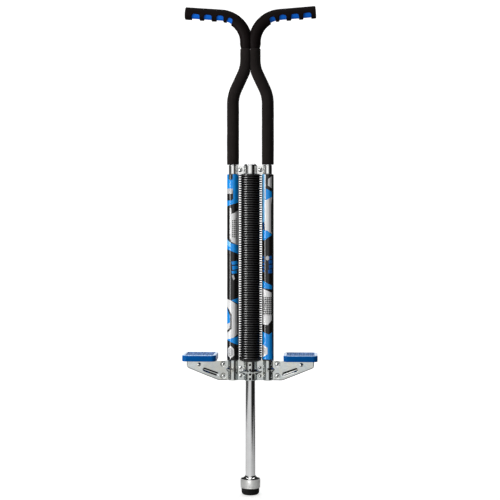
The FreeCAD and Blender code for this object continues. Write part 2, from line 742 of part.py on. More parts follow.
def main_spring():
    height = SPRING_HIGH - SPRING_LOW - 2 * SPRING_WIRE_R
    helix = Part.makeHelix(height / SPRING_TURNS, height, SPRING_MEAN_R)
    helix.translate(V(0, 0, SPRING_LOW + SPRING_WIRE_R))
    edge = helix.Edges[0]
    start = edge.valueAt(edge.FirstParameter)
    tangent = edge.tangentAt(edge.FirstParameter)
    section = Part.Wire(Part.makeCircle(SPRING_WIRE_R, start, tangent))
    coil = Part.Wire(helix.Edges).makePipeShell([section], True, True)
    # the pipe may come back as a compound or a shell
    if coil.ShapeType != "Solid":
        coil = coil.Solids[0] if coil.Solids else Part.Solid(coil)
    return coil


def upper_spring_plate():
    return ring(18.2, 11.2, 679.1, 681.95)


# ---- upper clamp ------------------------------------------------------------------
CLAMP_LOW, CLAMP_HIGH = 682.0, 701.0
CLAMP_T = 1.5
CLAMP_SIDE_R = 9.3
CLAMP_CREASE_R = 1.5
BOLT_X, BOLT_Z = 21.4, 691.5
BOLT_R, BOLT_HOLE_R, BOLT_END_Y = 2.95, 3.1, 9.0
BOLT_HEAD_R, BOLT_HEAD_H = 5.0, 2.9
SOCKET_R = 1.9          # to the corners
NUT_R, NUT_BORE_R, NUT_H = 5.77, 3.0, 5.0      # NUT_R is to the corners
CLAMP_FACE = CLAMP_T + FACE_GAP


def upper_clamp():
    """Front half."""
    def web_crease(edge):
        b = edge.BoundBox
        return b.ZLength > 15 and abs(b.YMin + CLAMP_T) < 1e-3 and b.YLength < 1e-3

    half = fuse([
        box(-TUBE_X, TUBE_X, -CLAMP_T, 0, CLAMP_LOW, CLAMP_HIGH),
        cyl(BARREL_R, CLAMP_LOW, CLAMP_HIGH),
        cyl(CLAMP_SIDE_R, CLAMP_LOW, CLAMP_HIGH, TUBE_X),
        cyl(CLAMP_SIDE_R, CLAMP_LOW, CLAMP_HIGH, -TUBE_X),
    ])
    half = half.cut(box(-100, 100, 0, 100, 600, 800))
    half = try_fillet(half, CLAMP_CREASE_R, web_crease)
    half = half.cut(cyl(BARREL_R - CLAMP_T, 600, 800))
    for _, side in SIDES:
        half = half.cut(cyl(TUBE_SEAT_R, 600, 800, side * TUBE_X))
        half = half.cut(ycyl(BOLT_HOLE_R, side * BOLT_X, BOLT_Z, -20, 20))
    return half


def upper_bushing():
    return bushing(outer_r=BARREL_R - CLAMP_T - FIT, low=CLAMP_LOW + FIT,
                   high=CLAMP_HIGH + FIT, flange_r=13.2, flange_top=CLAMP_HIGH + 0.8)


def clamp_bolt(x):
    """Domed head with a hexagonal socket at the front."""
    shank = ycyl(BOLT_R, x, BOLT_Z, -CLAMP_FACE, BOLT_END_Y)
    head = dome(x, BOLT_Z, CLAMP_FACE, BOLT_HEAD_R, BOLT_HEAD_H, -1)
    socket = hexagon(x, -CLAMP_FACE - 4, BOLT_Z, SOCKET_R).extrude(V(0, 2.8, 0))
    return fuse([shank, head]).cut(socket)


def clamp_nut(x):
    nut = hexagon(x, CLAMP_FACE, BOLT_Z, NUT_R).extrude(V(0, NUT_H, 0))
    return nut.cut(ycyl(NUT_BORE_R, x, BOLT_Z, 0, 20))


def clamp_bolts():
    return Part.makeCompound([clamp_bolt(side * BOLT_X) for _, side in SIDES])


def clamp_nuts():
    return Part.makeCompound([clamp_nut(side * BOLT_X) for _, side in SIDES])


# ---- printed sleeves over the frame tubes, with foam liners ---------------------
SLEEVE_R = 12.7
SLEEVE_BORE_R = SLEEVE_R - 1.5
SLEEVE_LOW, SLEEVE_HIGH = 286.3, 681.6
LINER_INSET = 0.8       # liner's ends stop short of the sleeve's


def graphic_sleeve(side):
    return ring(SLEEVE_R, SLEEVE_BORE_R, SLEEVE_LOW, SLEEVE_HIGH, side * TUBE_X)


def sleeve_liner(side):
    return ring(SLEEVE_BORE_R - FIT, TUBE_BORE_R,
                SLEEVE_LOW + LINER_INSET, SLEEVE_HIGH - LINER_INSET, side * TUBE_X)


# ---- build: each piece is named after its function --------------------------------
for build in (frame_tube, foam_sleeve, grip_core, pedal):
    right = build()
    export(build.__name__ + "_right", right)
    export(build.__name__ + "_left", mirror_x(right))

grip = grip_shell()
export("grip_right", windowed(grip, 0.0))
export("grip_left", mirror_x(windowed(grip, LEFT_SHIFT)))

for build in (footrest_plate, upper_clamp):
    front = build()
    export(build.__name__ + "_front", front)
    export(build.__name__ + "_rear", mirror_y(front))

for build in (pedal_rivet, graphic_sleeve, sleeve_liner):
    for side_name, side in SIDES:
        export(f"{build.__name__}_{side_name}", build(side))

for build in (plate_rivets, lower_bushing, bump_stop, cover_base_ring, spring_cover,
              piston_tube, piston_top_cap, spring_seat, seat_pin, thrust_washer,
              foot_ferrule, foot_collar, rubber_tip, main_spring, upper_spring_plate,
              upper_bushing, clamp_bolts, clamp_nuts):
    export(build.__name__, build())
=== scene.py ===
import bpy, bmesh, json, math
import numpy as np
from mathutils import Vector, Matrix, noise

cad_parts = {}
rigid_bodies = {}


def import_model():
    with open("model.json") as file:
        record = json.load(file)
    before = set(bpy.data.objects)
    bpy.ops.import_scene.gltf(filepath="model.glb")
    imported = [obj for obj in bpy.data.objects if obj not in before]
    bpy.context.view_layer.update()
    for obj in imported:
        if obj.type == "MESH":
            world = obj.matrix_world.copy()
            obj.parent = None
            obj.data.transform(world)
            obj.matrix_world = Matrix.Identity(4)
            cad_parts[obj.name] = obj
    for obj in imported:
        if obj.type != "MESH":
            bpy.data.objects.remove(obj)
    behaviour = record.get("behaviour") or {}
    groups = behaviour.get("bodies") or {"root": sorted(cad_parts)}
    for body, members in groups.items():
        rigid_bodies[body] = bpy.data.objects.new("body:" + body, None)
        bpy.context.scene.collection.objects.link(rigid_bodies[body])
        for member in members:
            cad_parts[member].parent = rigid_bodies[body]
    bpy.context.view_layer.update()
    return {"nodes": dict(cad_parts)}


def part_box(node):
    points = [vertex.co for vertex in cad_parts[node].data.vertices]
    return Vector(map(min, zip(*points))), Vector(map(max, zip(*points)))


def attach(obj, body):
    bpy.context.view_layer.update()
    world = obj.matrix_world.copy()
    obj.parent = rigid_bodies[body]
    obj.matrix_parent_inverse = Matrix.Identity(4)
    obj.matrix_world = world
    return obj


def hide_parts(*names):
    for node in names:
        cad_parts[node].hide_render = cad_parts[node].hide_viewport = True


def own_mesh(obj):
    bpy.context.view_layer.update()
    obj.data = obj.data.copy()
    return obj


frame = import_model()
NODES = frame["nodes"]
MM = 0.001
scene = bpy.context.scene
scene.view_settings.view_transform = "Standard"
scene.view_settings.look = "None"


def centre(node):
    lo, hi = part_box(node)
    return (lo + hi) / 2


# ---------------------------------------------------------------- node tools
class Tree:
    """Short names for building a material's nodes."""

    def __init__(self, name):
        self.mat = bpy.data.materials.new(name)
        self.mat.use_nodes = True
        self.t = self.mat.node_tree
        self.t.nodes.clear()
        self.out = self.t.nodes.new("ShaderNodeOutputMaterial")
        self.bsdf = self.t.nodes.new("ShaderNodeBsdfPrincipled")
        self.t.links.new(self.bsdf.outputs[0], self.out.inputs[0])
        self.coord = self.t.nodes.new("ShaderNodeTexCoord").outputs["Object"]

    def node(self, kind, **props):
        n = self.t.nodes.new(kind)
        for k, v in props.items():
            setattr(n, k, v)
        return n

    def put(self, socket, value):
        if isinstance(value, bpy.types.NodeSocket):
            self.t.links.new(value, socket)
        else:
            socket.default_value = value

    def set(self, name, value):
        self.put(self.bsdf.inputs[name], value)

    def math(self, op, a, b=0.0, c=None, clamp=False):
        n = self.node("ShaderNodeMath", operation=op, use_clamp=clamp)
        self.put(n.inputs[0], a)
        self.put(n.inputs[1], b)
        if c is not None:
            self.put(n.inputs[2], c)
        return n.outputs[0]

    def vmath(self, op, a, b=None):
        n = self.node("ShaderNodeVectorMath", operation=op)
        self.put(n.inputs[0], a)
        if b is not None:
            self.put(n.inputs[1], b)
        return n.outputs["Value"] if op in ("DOT_PRODUCT", "LENGTH", "DISTANCE") else n.outputs[0]

    def split(self, v):
        n = self.node("ShaderNodeSeparateXYZ")
        self.put(n.inputs[0], v)
        return n.outputs[0], n.outputs[1], n.outputs[2]

    def join(self, x, y, z):
        n = self.node("ShaderNodeCombineXYZ")
        for s, v in zip(n.inputs, (x, y, z)):
            self.put(s, v)
        return n.outputs[0]

    def ramp(self, value, stops, mode="LINEAR"):
        n = self.node("ShaderNodeValToRGB")
        n.color_ramp.interpolation = mode
        e = n.color_ramp.elements
        while len(e) < len(stops):
            e.new(0.5)
        for el, (p, c) in zip(e, stops):
            el.position = p
            el.color = (c, c, c, 1) if isinstance(c, (int, float)) else (*c, 1)
        self.put(n.inputs[0], value)
        return n.outputs[0]

    def mix(self, fac, a, b, mode="MIX"):
        n = self.node("ShaderNodeMix", data_type="RGBA", blend_type=mode)
        self.put(n.inputs[0], fac)
        for s, v in ((n.inputs[6], a), (n.inputs[7], b)):
            self.put(s, (*v, 1) if isinstance(v, tuple) and len(v) == 3 else v)
        return n.outputs[2]

    def scaled(self, v, sx, sy, sz):
        n = self.node("ShaderNodeMapping")
        n.inputs["Scale"].default_value = (sx, sy, sz)
        self.put(n.inputs[0], v)
        return n.outputs[0]

    def noise(self, size, v=None, detail=3.0, rough=0.5, distortion=0.0):
        """size is the length of one feature in metres"""
        n = self.node("ShaderNodeTexNoise")
        self.put(n.inputs["Vector"], self.coord if v is None else v)
        n.inputs["Scale"].default_value = 1.0 / size
        n.inputs["Detail"].default_value = detail
        n.inputs["Roughness"].default_value = rough
        n.inputs["Distortion"].default_value = distortion
        return n.outputs[0]

    def voronoi(self, size, v=None, feature="F1", rand=1.0):
        n = self.node("ShaderNodeTexVoronoi", feature=feature)
        self.put(n.inputs["Vector"], self.coord if v is None else v)
        n.inputs["Scale"].default_value = 1.0 / size
        n.inputs["Randomness"].default_value = rand
        return n.outputs["Distance"]

    def range(self, v, a, b, lo, hi):
        n = self.node("ShaderNodeMapRange", clamp=True)
        for s, x in zip(n.inputs[:5], (v, a, b, lo, hi)):
            self.put(s, x)
        return n.outputs[0]

    def bump(self, height, depth, strength=1.0, normal=None):
        n = self.node("ShaderNodeBump")
        n.inputs["Strength"].default_value = strength
        n.inputs["Distance"].default_value = depth
        self.put(n.inputs["Height"], height)
        if normal is not None:
            self.put(n.inputs["Normal"], normal)
        return n.outputs[0]

    def flat_gloss(self, amount, rough):
        """A small reflection that does not grow towards the silhouette, as on matt or greasy rubber."""
        self.set("Specular IOR Level", 0.0)
        g = self.node("ShaderNodeBsdfGlossy")
        self.put(g.inputs["Color"], (amount, amount, amount, 1) if isinstance(amount, float) else amount)
        self.put(g.inputs["Roughness"], rough)
        n = self.bsdf.inputs["Normal"].links
        if n:
            self.put(g.inputs["Normal"], n[0].from_socket)
        add = self.node("ShaderNodeAddShader")
        self.t.links.new(self.bsdf.outputs[0], add.inputs[0])
        self.t.links.new(g.outputs[0], add.inputs[1])
        self.t.links.new(add.outputs[0], self.out.inputs[0])

    def cavity(self, reach):
        """1 deep in a corner or bore, 0 on an open face"""
        n = self.node("ShaderNodeAmbientOcclusion", samples=6)
        n.inputs["Distance"].default_value = reach
        return self.range(n.outputs["AO"], 0.30, 0.85, 1.0, 0.0)

    def edges(self, radius=0.0008):
        """1 where the surface turns sharply, by comparing the bevelled normal"""
        b = self.node("ShaderNodeBevel", samples=4)
        b.inputs["Radius"].default_value = radius
        g = self.node("ShaderNodeNewGeometry")
        d = self.vmath("DOT_PRODUCT", b.outputs[0], g.outputs["Normal"])
        return self.range(d, 0.995, 0.90, 0.0, 1.0)


# ---------------------------------------------------------------- materials
def bright_metal(name, base, rough=(0.07, 0.16), scratch="z", tint=None, peel=0.0):
    m = Tree(name)
    s = (14.0, 14.0, 0.35) if scratch == "z" else (0.35, 14.0, 14.0)
    fine = m.noise(0.012, m.scaled(m.coord, *s), 6.0, 0.7)
    cloud = m.noise(0.03, None, 4.0, 0.55)
    col = m.mix(m.range(cloud, 0.35, 0.7, 0.0, 1.0), base, tint or tuple(c * 0.93 for c in base))
    m.set("Base Color", col)
    m.set("Metallic", 1.0)
    r = m.math("ADD", m.range(fine, 0.35, 0.75, rough[0], rough[1]), m.range(cloud, 0.4, 0.8, 0.0, 0.05))
    m.set("Roughness", r)
    n = m.bump(fine, 0.000003, 0.4)
    if peel:
        n = m.bump(m.noise(0.0016, None, 2.0), peel, 0.6, n)
    m.set("Normal", n)
    return m.mat


def satin_zinc(name, base=(0.60, 0.60, 0.575), rings=0.0):
    m = Tree(name)
    grain = m.noise(0.00035, None, 3.0, 0.6)
    cloud = m.noise(0.011, None, 4.0, 0.6)
    x, y, z = m.split(m.coord)
    turned = m.math("SINE", m.math("MULTIPLY", z, 2 * math.pi / 0.00045))
    e = m.edges(0.0007)
    col = m.mix(m.range(cloud, 0.3, 0.72, 0.0, 1.0), base, tuple(c * 0.88 for c in base))
    col = m.mix(m.math("MULTIPLY", e, 0.35), col, (0.8, 0.8, 0.79))
    # painted shade: corners and bores, such as the rivet holes, are darkened nearly to black
    col = m.mix(m.cavity(0.0025), col, (0.02, 0.02, 0.021))
    m.set("Base Color", col)
    m.set("Metallic", 1.0)
    m.set("Roughness", m.math("ADD", m.range(grain, 0.3, 0.7, 0.15, 0.22), m.range(cloud, 0.4, 0.7, -0.03, 0.06)))
    n = m.bump(grain, 0.00001, 0.4)
    if rings:
        n = m.bump(turned, rings, 0.5, n)
    m.set("Normal", n)
    return m.mat


def collar_metal(name):
    """Polished dish with oil and rubber dust gathered towards the tube."""
    m = Tree(name)
    fine = m.noise(0.004, m.scaled(m.coord, 1.0, 1.0, 8.0), 5.0, 0.65)
    x, y, z = m.split(m.coord)
    r = m.math("SQRT", m.math("ADD", m.math("MULTIPLY", x, x), m.math("MULTIPLY", y, y)))
    lo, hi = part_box("foot_collar")
    rim = (hi.x - lo.x) / 2
    oil = m.math("MULTIPLY", m.range(r, rim - 6.5 * MM, rim - 4.0 * MM, 0.45, 0.0), m.range(m.noise(0.004, None, 4.0, 0.6), 0.25, 0.6, 0.7, 1.0))
    face = m.node("ShaderNodeNewGeometry")
    nx, ny, nz = m.split(face.outputs["Normal"])
    oil = m.math("MULTIPLY", oil, m.range(nz, 0.05, 0.3, 0.0, 1.0))
    col = m.mix(m.math("MULTIPLY", oil, 0.93), (0.88, 0.88, 0.87), (0.02, 0.02, 0.02))
    m.set("Base Color", col)
    m.set("Metallic", 1.0)
    m.set("Roughness", m.math("MULTIPLY_ADD", oil, 0.12, m.range(fine, 0.35, 0.75, 0.05, 0.10)))
    m.set("Normal", m.bump(fine, 0.000004, 0.4))
    return m.mat


def dull_zinc(name):
    """Zinc flake paint on a turned cup: pale, nearly flat, with painted shade darkening the grooves."""
    m = Tree(name)
    grain = m.noise(0.0004, None, 3.0, 0.6)
    cloud = m.noise(0.009, None, 4.0, 0.6)
    x, y, z = m.split(m.coord)
    turned = m.math("SINE", m.math("MULTIPLY", z, 2 * math.pi / 0.0006))
    col = m.mix(m.range(cloud, 0.3, 0.72, 0.0, 1.0), (0.74, 0.74, 0.725), (0.68, 0.68, 0.665))
    col = m.mix(m.range(grain, 0.4, 0.7, 0.0, 0.25), col, (0.42, 0.42, 0.41))
    # painted shade: the turned grooves and corners are darkened
    col = m.mix(m.math("MULTIPLY", m.cavity(0.003), 0.85), col, (0.03, 0.03, 0.03))
    m.set("Base Color", col)
    m.set("Metallic", 0.25)
    m.set("Roughness", m.range(grain, 0.3, 0.7, 0.30, 0.42))
    n = m.bump(grain, 0.00001, 0.4)
    n = m.bump(turned, 0.000005, 0.5, n)
    m.set("Normal", n)
    return m.mat


def plate_zinc(name, a=(0.69, 0.74, 0.75), b=(0.75, 0.75, 0.69), c=(0.57, 0.62, 0.63), dents=0.00012):
    """Bright zinc over stamped sheet: a soft mirror with draw marks, faint blue and straw tints and handling scratches."""
    m = Tree(name)
    cloud = m.noise(0.018, None, 4.0, 0.6, 0.4)
    patch = m.noise(0.007, None, 3.0, 0.5)
    draw = m.noise(0.004, m.scaled(m.coord, 0.5, 0.5, 5.0), 5.0, 0.65)
    scr = m.voronoi(0.012, m.scaled(m.coord, 0.6, 1.0, 3.0), "DISTANCE_TO_EDGE")
    line = m.math("LESS_THAN", scr, 0.006)
    col = m.mix(m.range(cloud, 0.38, 0.66, 0.0, 1.0), a, b)
    col = m.mix(m.range(patch, 0.45, 0.75, 0.0, 0.4), col, c)
    m.set("Base Color", col)
    m.set("Metallic", 1.0)
    r = m.math("ADD", m.range(patch, 0.3, 0.7, 0.055, 0.095), m.range(draw, 0.4, 0.7, 0.0, 0.03))
    r = m.math("ADD", r, m.math("MULTIPLY", line, 0.025))
    # painted shade: corners, bores and groove interiors are darkened towards dark grey; the same mask also raises the
    # roughness as grime
    grime_and_painted_shade = m.cavity(0.0045)
    col = m.mix(m.math("MULTIPLY", grime_and_painted_shade, 0.80), col, (0.10, 0.11, 0.12))
    # painted shade and painted highlight: flanks that lean down are darkened nearly to black, those that lean up are
    # lightened nearly to white
    face = m.node("ShaderNodeNewGeometry")
    nx, ny, nz = m.split(face.outputs["Normal"])
    col = m.mix(m.range(nz, -0.40, -0.20, 0.85, 0.0), col, (0.03, 0.032, 0.036))
    col = m.mix(m.range(nz, 0.20, 0.38, 0.0, 0.8), col, (0.97, 0.97, 0.97))
    m.set("Base Color", col)
    m.set("Roughness", m.math("MULTIPLY_ADD", grime_and_painted_shade, 0.20, r))
    n = m.bump(draw, 0.000012, 0.4)
    n = m.bump(m.noise(0.006, None, 2.0, 0.5), dents, 0.5, n)
    n = m.bump(m.math("MULTIPLY", line, -1.0), 0.0000015, 0.5, n)
    m.set("Normal", n)
    return m.mat


def plastic(name, base, rough=(0.3, 0.45), grain=0.0003, depth=0.00002, spec=0.5, worn=None, cloud_to=0.85, edge_amount=0.4, coat=0.0):
    m = Tree(name)
    g = m.voronoi(grain * 1.6)
    f = m.noise(grain, None, 2.0, 0.6)
    cloud = m.noise(0.016, None, 4.0, 0.6)
    col = m.mix(m.range(cloud, 0.35, 0.7, 0.0, 1.0), base, tuple(c * cloud_to for c in base))
    if worn:
        e = m.math("MULTIPLY", m.edges(0.0009), m.range(m.noise(0.006, None, 4.0, 0.7), 0.42, 0.62, 0.0, edge_amount))
        col = m.mix(e, col, worn)
    m.set("Base Color", col)
    m.set("Roughness", m.math("ADD", m.range(f, 0.3, 0.7, rough[0], rough[1]), m.range(cloud, 0.4, 0.7, -0.04, 0.06)))
    m.set("Specular IOR Level", spec)
    if coat:
        m.set("Coat Weight", coat)
        m.set("Coat Roughness", 0.08)
    n = m.bump(g, depth, 0.5)
    n = m.bump(f, depth, 0.5, n)
    m.set("Normal", n)
    return m


def foam(name, base=(0.0112, 0.0090, 0.0086)):
    m = Tree(name)
    cells = m.voronoi(0.0011)
    small = m.voronoi(0.0005)
    cloud = m.noise(0.03, None, 5.0, 0.65)
    scuff = m.range(m.noise(0.009, m.scaled(m.coord, 1, 1, 0.35), 5.0, 0.75), 0.60, 0.78, 0.0, 0.55)
    col = m.mix(m.range(cloud, 0.3, 0.7, 0.0, 1.0), base, tuple(c * 1.5 for c in base))
    col = m.mix(m.range(cells, 0.0, 0.45, 0.55, 0.0), col, tuple(c * 0.35 for c in base))
    col = m.mix(scuff, col, tuple(c * 2.6 for c in base))
    m.set("Base Color", col)
    m.set("Roughness", m.range(cloud, 0.3, 0.7, 0.82, 0.96))
    m.set("Specular IOR Level", 0.06)
    m.set("Sheen Weight", 0.03)
    m.set("Sheen Roughness", 0.5)
    n = m.bump(cells, 0.00022, 0.6)
    n = m.bump(small, 0.00008, 0.5, n)
    n = m.bump(m.noise(0.006, None, 3.0), 0.0003, 0.4, n)
    m.set("Normal", n)
    return m.mat


def tip_rubber(name):
    m = Tree(name)
    x, y, z = m.split(m.coord)
    dust = m.math("MULTIPLY", m.range(z, 0.0, 0.006, 1.0, 0.0), m.range(m.noise(0.004, None, 5.0, 0.7), 0.4, 0.65, 0.15, 0.8))
    col = m.mix(m.noise(0.01, None, 4.0), (0.0065, 0.0065, 0.0068), (0.0105, 0.010, 0.010))
    m.set("Base Color", m.mix(dust, col, (0.030, 0.028, 0.026)))
    m.set("Specular IOR Level", 0.10)
    m.set("Roughness", m.range(m.noise(0.003, None, 4.0), 0.3, 0.7, 0.55, 0.72))
    n = m.bump(m.noise(0.0006, None, 3.0), 0.00006, 0.5)
    n = m.bump(m.noise(0.003, None, 4.0, 0.7), 0.0003, 0.3, n)
    m.set("Normal", n)
    return m.mat


# ------------------------------------------------------------ printed sleeve
BLUE = (0.003, 0.27, 0.78)
PALE_BLUE = (0.17, 0.52, 0.90)
DEEP = (0.006, 0.10, 0.40)
WHITE = (0.72, 0.72, 0.72)
GREY = (0.48, 0.48, 0.485)
INK = (0.0070, 0.0062, 0.0062)
R_PRINT = 12.7
YAW = 2.8


def at(t, z):
    """Print position in mm: t runs -1 to 1 across the side that faces the viewer."""
    t = max(-1.0, min(1.0, t))
    return ((math.asin(t) + math.radians(YAW)) * R_PRINT, z)


class Print(Tree):
    def __init__(self, name, node):
        super().__init__(name)
        c = centre(node)
        x, y, z = self.split(self.coord)
        dx = self.math("SUBTRACT", x, c.x)
        dy = self.math("SUBTRACT", y, c.y)
        # the back repeats the front, mirrored at the two sides
        ang = self.math("ARCTAN2", dx, self.math("ABSOLUTE", dy))
        self.u = self.math("MULTIPLY", ang, R_PRINT)
        self.v = self.math("MULTIPLY", z, 1000.0)
        wob = self.noise(0.02, None, 2.0)
        self.p = self.join(self.u, self.v, 1.0)
        self.col = None
        self.wob = wob

    def mask(self, pts, soft=0.12, grow=0.0):
        """Convex polygon, points in mm in either order."""
        pts = [Vector(p) for p in pts]
        c = sum(pts, Vector((0, 0))) / len(pts)
        low = None
        for a, b in zip(pts, pts[1:] + pts[:1]):
            e = b - a
            if e.length < 1e-6:
                continue
            n = Vector((-e.y, e.x)).normalized()
            if n.dot(c - a) < 0:
                n = -n
            d = self.vmath("DOT_PRODUCT", self.p, (n.x, n.y, -n.dot(a) + grow))
            low = d if low is None else self.math("MINIMUM", low, d)
        return self.math("MULTIPLY_ADD", low, 0.5 / soft, 0.5, clamp=True)

    def paint(self, mask, colour):
        self.col = self.mix(mask, self.col, colour)

    def poly(self, pts, colour, **k):
        self.paint(self.mask([at(*p) for p in pts], **k), colour)

    def dots(self, pts, pitch, radius, colour):
        m = self.mask([at(*p) for p in pts])
        fu = self.math("SUBTRACT", self.math("FRACT", self.math("DIVIDE", self.math("ADD", self.u, 100.0), pitch)), 0.5)
        fv = self.math("SUBTRACT", self.math("FRACT", self.math("DIVIDE", self.v, pitch)), 0.5)
        d = self.math("SQRT", self.math("ADD", self.math("MULTIPLY", fu, fu), self.math("MULTIPLY", fv, fv)))
        dot = self.range(d, radius - 0.04, radius + 0.04, 1.0, 0.0)
        self.paint(self.math("MULTIPLY", m, dot), colour)

    def hexagon(self, t, z, rx, rz, colour, **k):
        c = at(t, z)
        pts = [(c[0] + rx * a, c[1] + rz * b) for a, b in ((0, 1), (1, 0.5), (1, -0.5), (0, -1), (-1, -0.5), (-1, 0.5))]
        self.paint(self.mask(pts, **k), colour)

    def done(self, ring_z):
        # narrow dark band where the film is rolled under at the lower end
        self.paint(self.range(self.v, ring_z + 1.9, ring_z + 2.3, 1.0, 0.0), INK)
        fade = self.range(self.noise(0.006, self.scaled(self.coord, 1, 1, 0.4), 5.0, 0.75), 0.62, 0.82, 0.0, 0.06)
        col = self.mix(fade, self.col, (0.35, 0.36, 0.38))
        self.set("Base Color", col)
        self.set("Roughness", self.range(self.noise(0.009, None, 4.0), 0.3, 0.7, 0.11, 0.19))
        self.set("Specular IOR Level", 0.33)
        self.set("Coat Weight", 0.33)
        self.set("Coat Roughness", 0.07)
        n = self.bump(self.noise(0.0022, None, 2.0), 0.00005, 0.4)
        n = self.bump(self.noise(0.016, self.scaled(self.coord, 1, 1, 0.6), 2.0), 0.00045, 0.35, n)
        self.set("Normal", n)
        return self.mat


def print_left():
    p = Print("sleeve_print_left", "graphic_sleeve_left")
    p.col = p.mix(p.wob, INK, tuple(c * 1.4 for c in INK))
    W = 1.0
    # blue block with a notch and an inset
    p.poly([(-W, 684), (W, 684), (W, 624), (-W, 612)], BLUE)
    p.poly([(-0.72, 684), (-0.02, 684), (-0.02, 671), (-0.2, 669.5), (-0.6, 669.5), (-0.72, 671)], INK)
    p.poly([(-W, 649), (0.0, 649), (0.06, 646), (0.06, 630), (-0.15, 626), (-W, 626)], INK)
    p.poly([(-W, 651), (-0.02, 651), (-0.1, 640), (-W, 640)], GREY)
    # white flag with a dot grid
    p.poly([(-0.5, 611), (-0.25, 608), (-0.25, 540), (-0.5, 545)], WHITE)
    p.poly([(-0.27, 597), (W, 605.5), (W, 528), (-0.27, 537.5)], WHITE)
    # painted shade: the right part of the white flag, turned away from the lamps, is printed grey
    p.poly([(0.45, 602), (W, 605.5), (W, 528), (0.45, 532)], GREY)
    p.dots([(-0.12, 584), (0.62, 588), (0.62, 544), (-0.12, 548)], 4.27, 0.38, INK)
    # blue band falling to the right
    p.poly([(-W, 547), (-0.3, 535), (-0.3, 518.7), (-W, 524)], BLUE)
    p.poly([(-0.31, 535), (W, 529), (W, 509), (-0.31, 518.7)], BLUE)
    p.poly([(-W, 547), (-0.3, 535), (-0.35, 526), (-W, 533)], PALE_BLUE)
    # plain bars
    for z0, z1, a, b in ((489, 496, -0.25, 0.7), (478.5, 486.5, -0.15, 0.75), (470, 476, -0.25, 0.6)):
        p.poly([(a, z1), (b, z1 + 1.5), (b + 0.12, z0 + 1.5), (a + 0.1, z0)], BLUE)
    p.poly([(-0.2, 466), (0.1, 468), (0.35, 460), (0.1, 456)], GREY)
    # blue wedge, then a hexagon outline with a blue middle
    p.poly([(-0.3, 414), (W, 421), (W, 402)], BLUE)
    p.poly([(-W, 418), (-0.3, 413), (0.72, 404), (0.72, 341), (-0.3, 331), (-W, 328)], WHITE)
    # painted shade: the right part of the white field, turned away from the lamps, is printed grey
    p.poly([(0.35, 407.5), (0.72, 404), (0.72, 341), (0.35, 337.5)], GREY)
    p.poly([(-W, 402), (-0.78, 397), (-0.22, 384), (-0.22, 353), (-0.8, 346), (-W, 344)], INK)
    p.poly([(-W, 398), (-0.9, 395), (-0.5, 381), (-0.5, 360), (-0.9, 351), (-W, 350)], BLUE)
    p.poly([(-W, 362), (-0.5, 366), (-0.55, 355), (-0.9, 350), (-W, 350)], WHITE)
    p.poly([(-0.95, 330), (W, 339), (W, 317), (0.4, 321)], BLUE)
    # white hexagon on black near the footrest
    p.hexagon(-0.4, 303.5, 7.6, 13.6, WHITE)
    p.hexagon(-0.4, 303.5, 5.4, 9.8, GREY)
    return p.done(286.3)


def print_right():
    p = Print("sleeve_print_right", "graphic_sleeve_right")
    p.col = p.mix(p.wob, INK, tuple(c * 1.4 for c in INK))
    W = 1.0
    # pale blue strip down the inner side
    p.poly([(-W, 684), (-0.57, 684), (-0.57, 581), (-W, 575)], PALE_BLUE)
    p.poly([(-0.56, 684), (-0.36, 684), (-0.36, 627), (-0.56, 630)], GREY)
    # part of a white hexagon on black
    p.poly([(0.02, 671), (0.64, 677.5), (0.64, 652), (0.02, 657)], WHITE)
    # painted shade: the right part of this white piece, turned away from the lamps, is printed grey
    p.poly([(0.3, 674), (0.64, 677.5), (0.64, 652), (0.3, 654.6)], GREY)
    # blue arrow, pale panel, blue arrow
    p.poly([(-0.36, 651), (0.66, 644), (0.66, 633), (-0.36, 626)], BLUE)
    p.poly([(-0.57, 628), (-0.36, 626), (-0.36, 561.2), (-0.5, 562)], WHITE)
    p.poly([(-0.37, 626), (0.52, 632), (0.52, 557), (-0.37, 561.3)], WHITE)
    p.poly([(0.52, 632), (0.66, 633), (0.52, 616)], WHITE)
    p.poly([(0.52, 560), (0.66, 555), (0.52, 556)], WHITE)
    # painted shade: the right part of the white panel, turned away from the lamps, is printed grey
    p.poly([(0.16, 629.5), (0.52, 632), (0.52, 558), (0.16, 559.5)], GREY)
    p.dots([(-W, 579), (-0.57, 579), (-0.57, 562), (-W, 562)], 3.2, 0.36, DEEP)
    p.poly([(-W, 563), (-0.1, 562), (0.66, 553), (-0.55, 541.5), (-W, 543)], BLUE)
    # plain bars
    for z0, z1, a, b in ((501, 507.5, 0.18, 0.62), (491, 499, 0.1, 0.68), (481, 489, 0.14, 0.72), (471, 479, 0.02, 0.66)):
        p.poly([(a, z1), (b, z1 + 1), (b + 0.06, z0 + 1), (a + 0.04, z0)], DEEP)
    for k in range(5):
        z = 474 + 7.2 * k
        p.poly([(-W, z + 5.2), (-0.6, z + 4.4), (-0.55, z), (-W, z + 0.6)], DEEP)
    p.hexagon(-0.08, 503.5, 3.6, 5.2, GREY)
    # blue band, white panel with dots, white point
    p.poly([(-W, 457), (-0.85, 456), (0.7, 444.5), (0.62, 431), (-0.85, 440), (-W, 441)], BLUE)
    p.poly([(-W, 440), (-0.85, 439.5), (0.6, 430), (0.62, 372), (-0.2, 359), (-0.82, 363), (-W, 364)], WHITE)
    p.dots([(-0.86, 421), (0.62, 421), (0.62, 382.5), (-0.86, 382.5)], 4.27, 0.44, INK)
    # big blue block with an outlined hexagon
    p.poly([(-W, 350), (0.1, 342), (0.1, 288.5), (-W, 288.5)], BLUE)
    p.poly([(0.09, 342), (0.68, 346), (0.74, 288.5), (0.09, 288.5)], BLUE)
    p.poly([(-0.2, 351), (0.68, 357), (0.68, 346), (0.1, 341)], INK)
    p.hexagon(-0.78, 306.5, 10.5, 13.5, WHITE)
    p.hexagon(-0.84, 306.5, 7.8, 10.2, GREY)
    # painted shade: the outer edge, turned away from the lamps, is inked black over the whole height
    p.poly([(0.72, 684), (W, 684), (W, 286), (0.74, 286)], INK)
    return p.done(286.3)


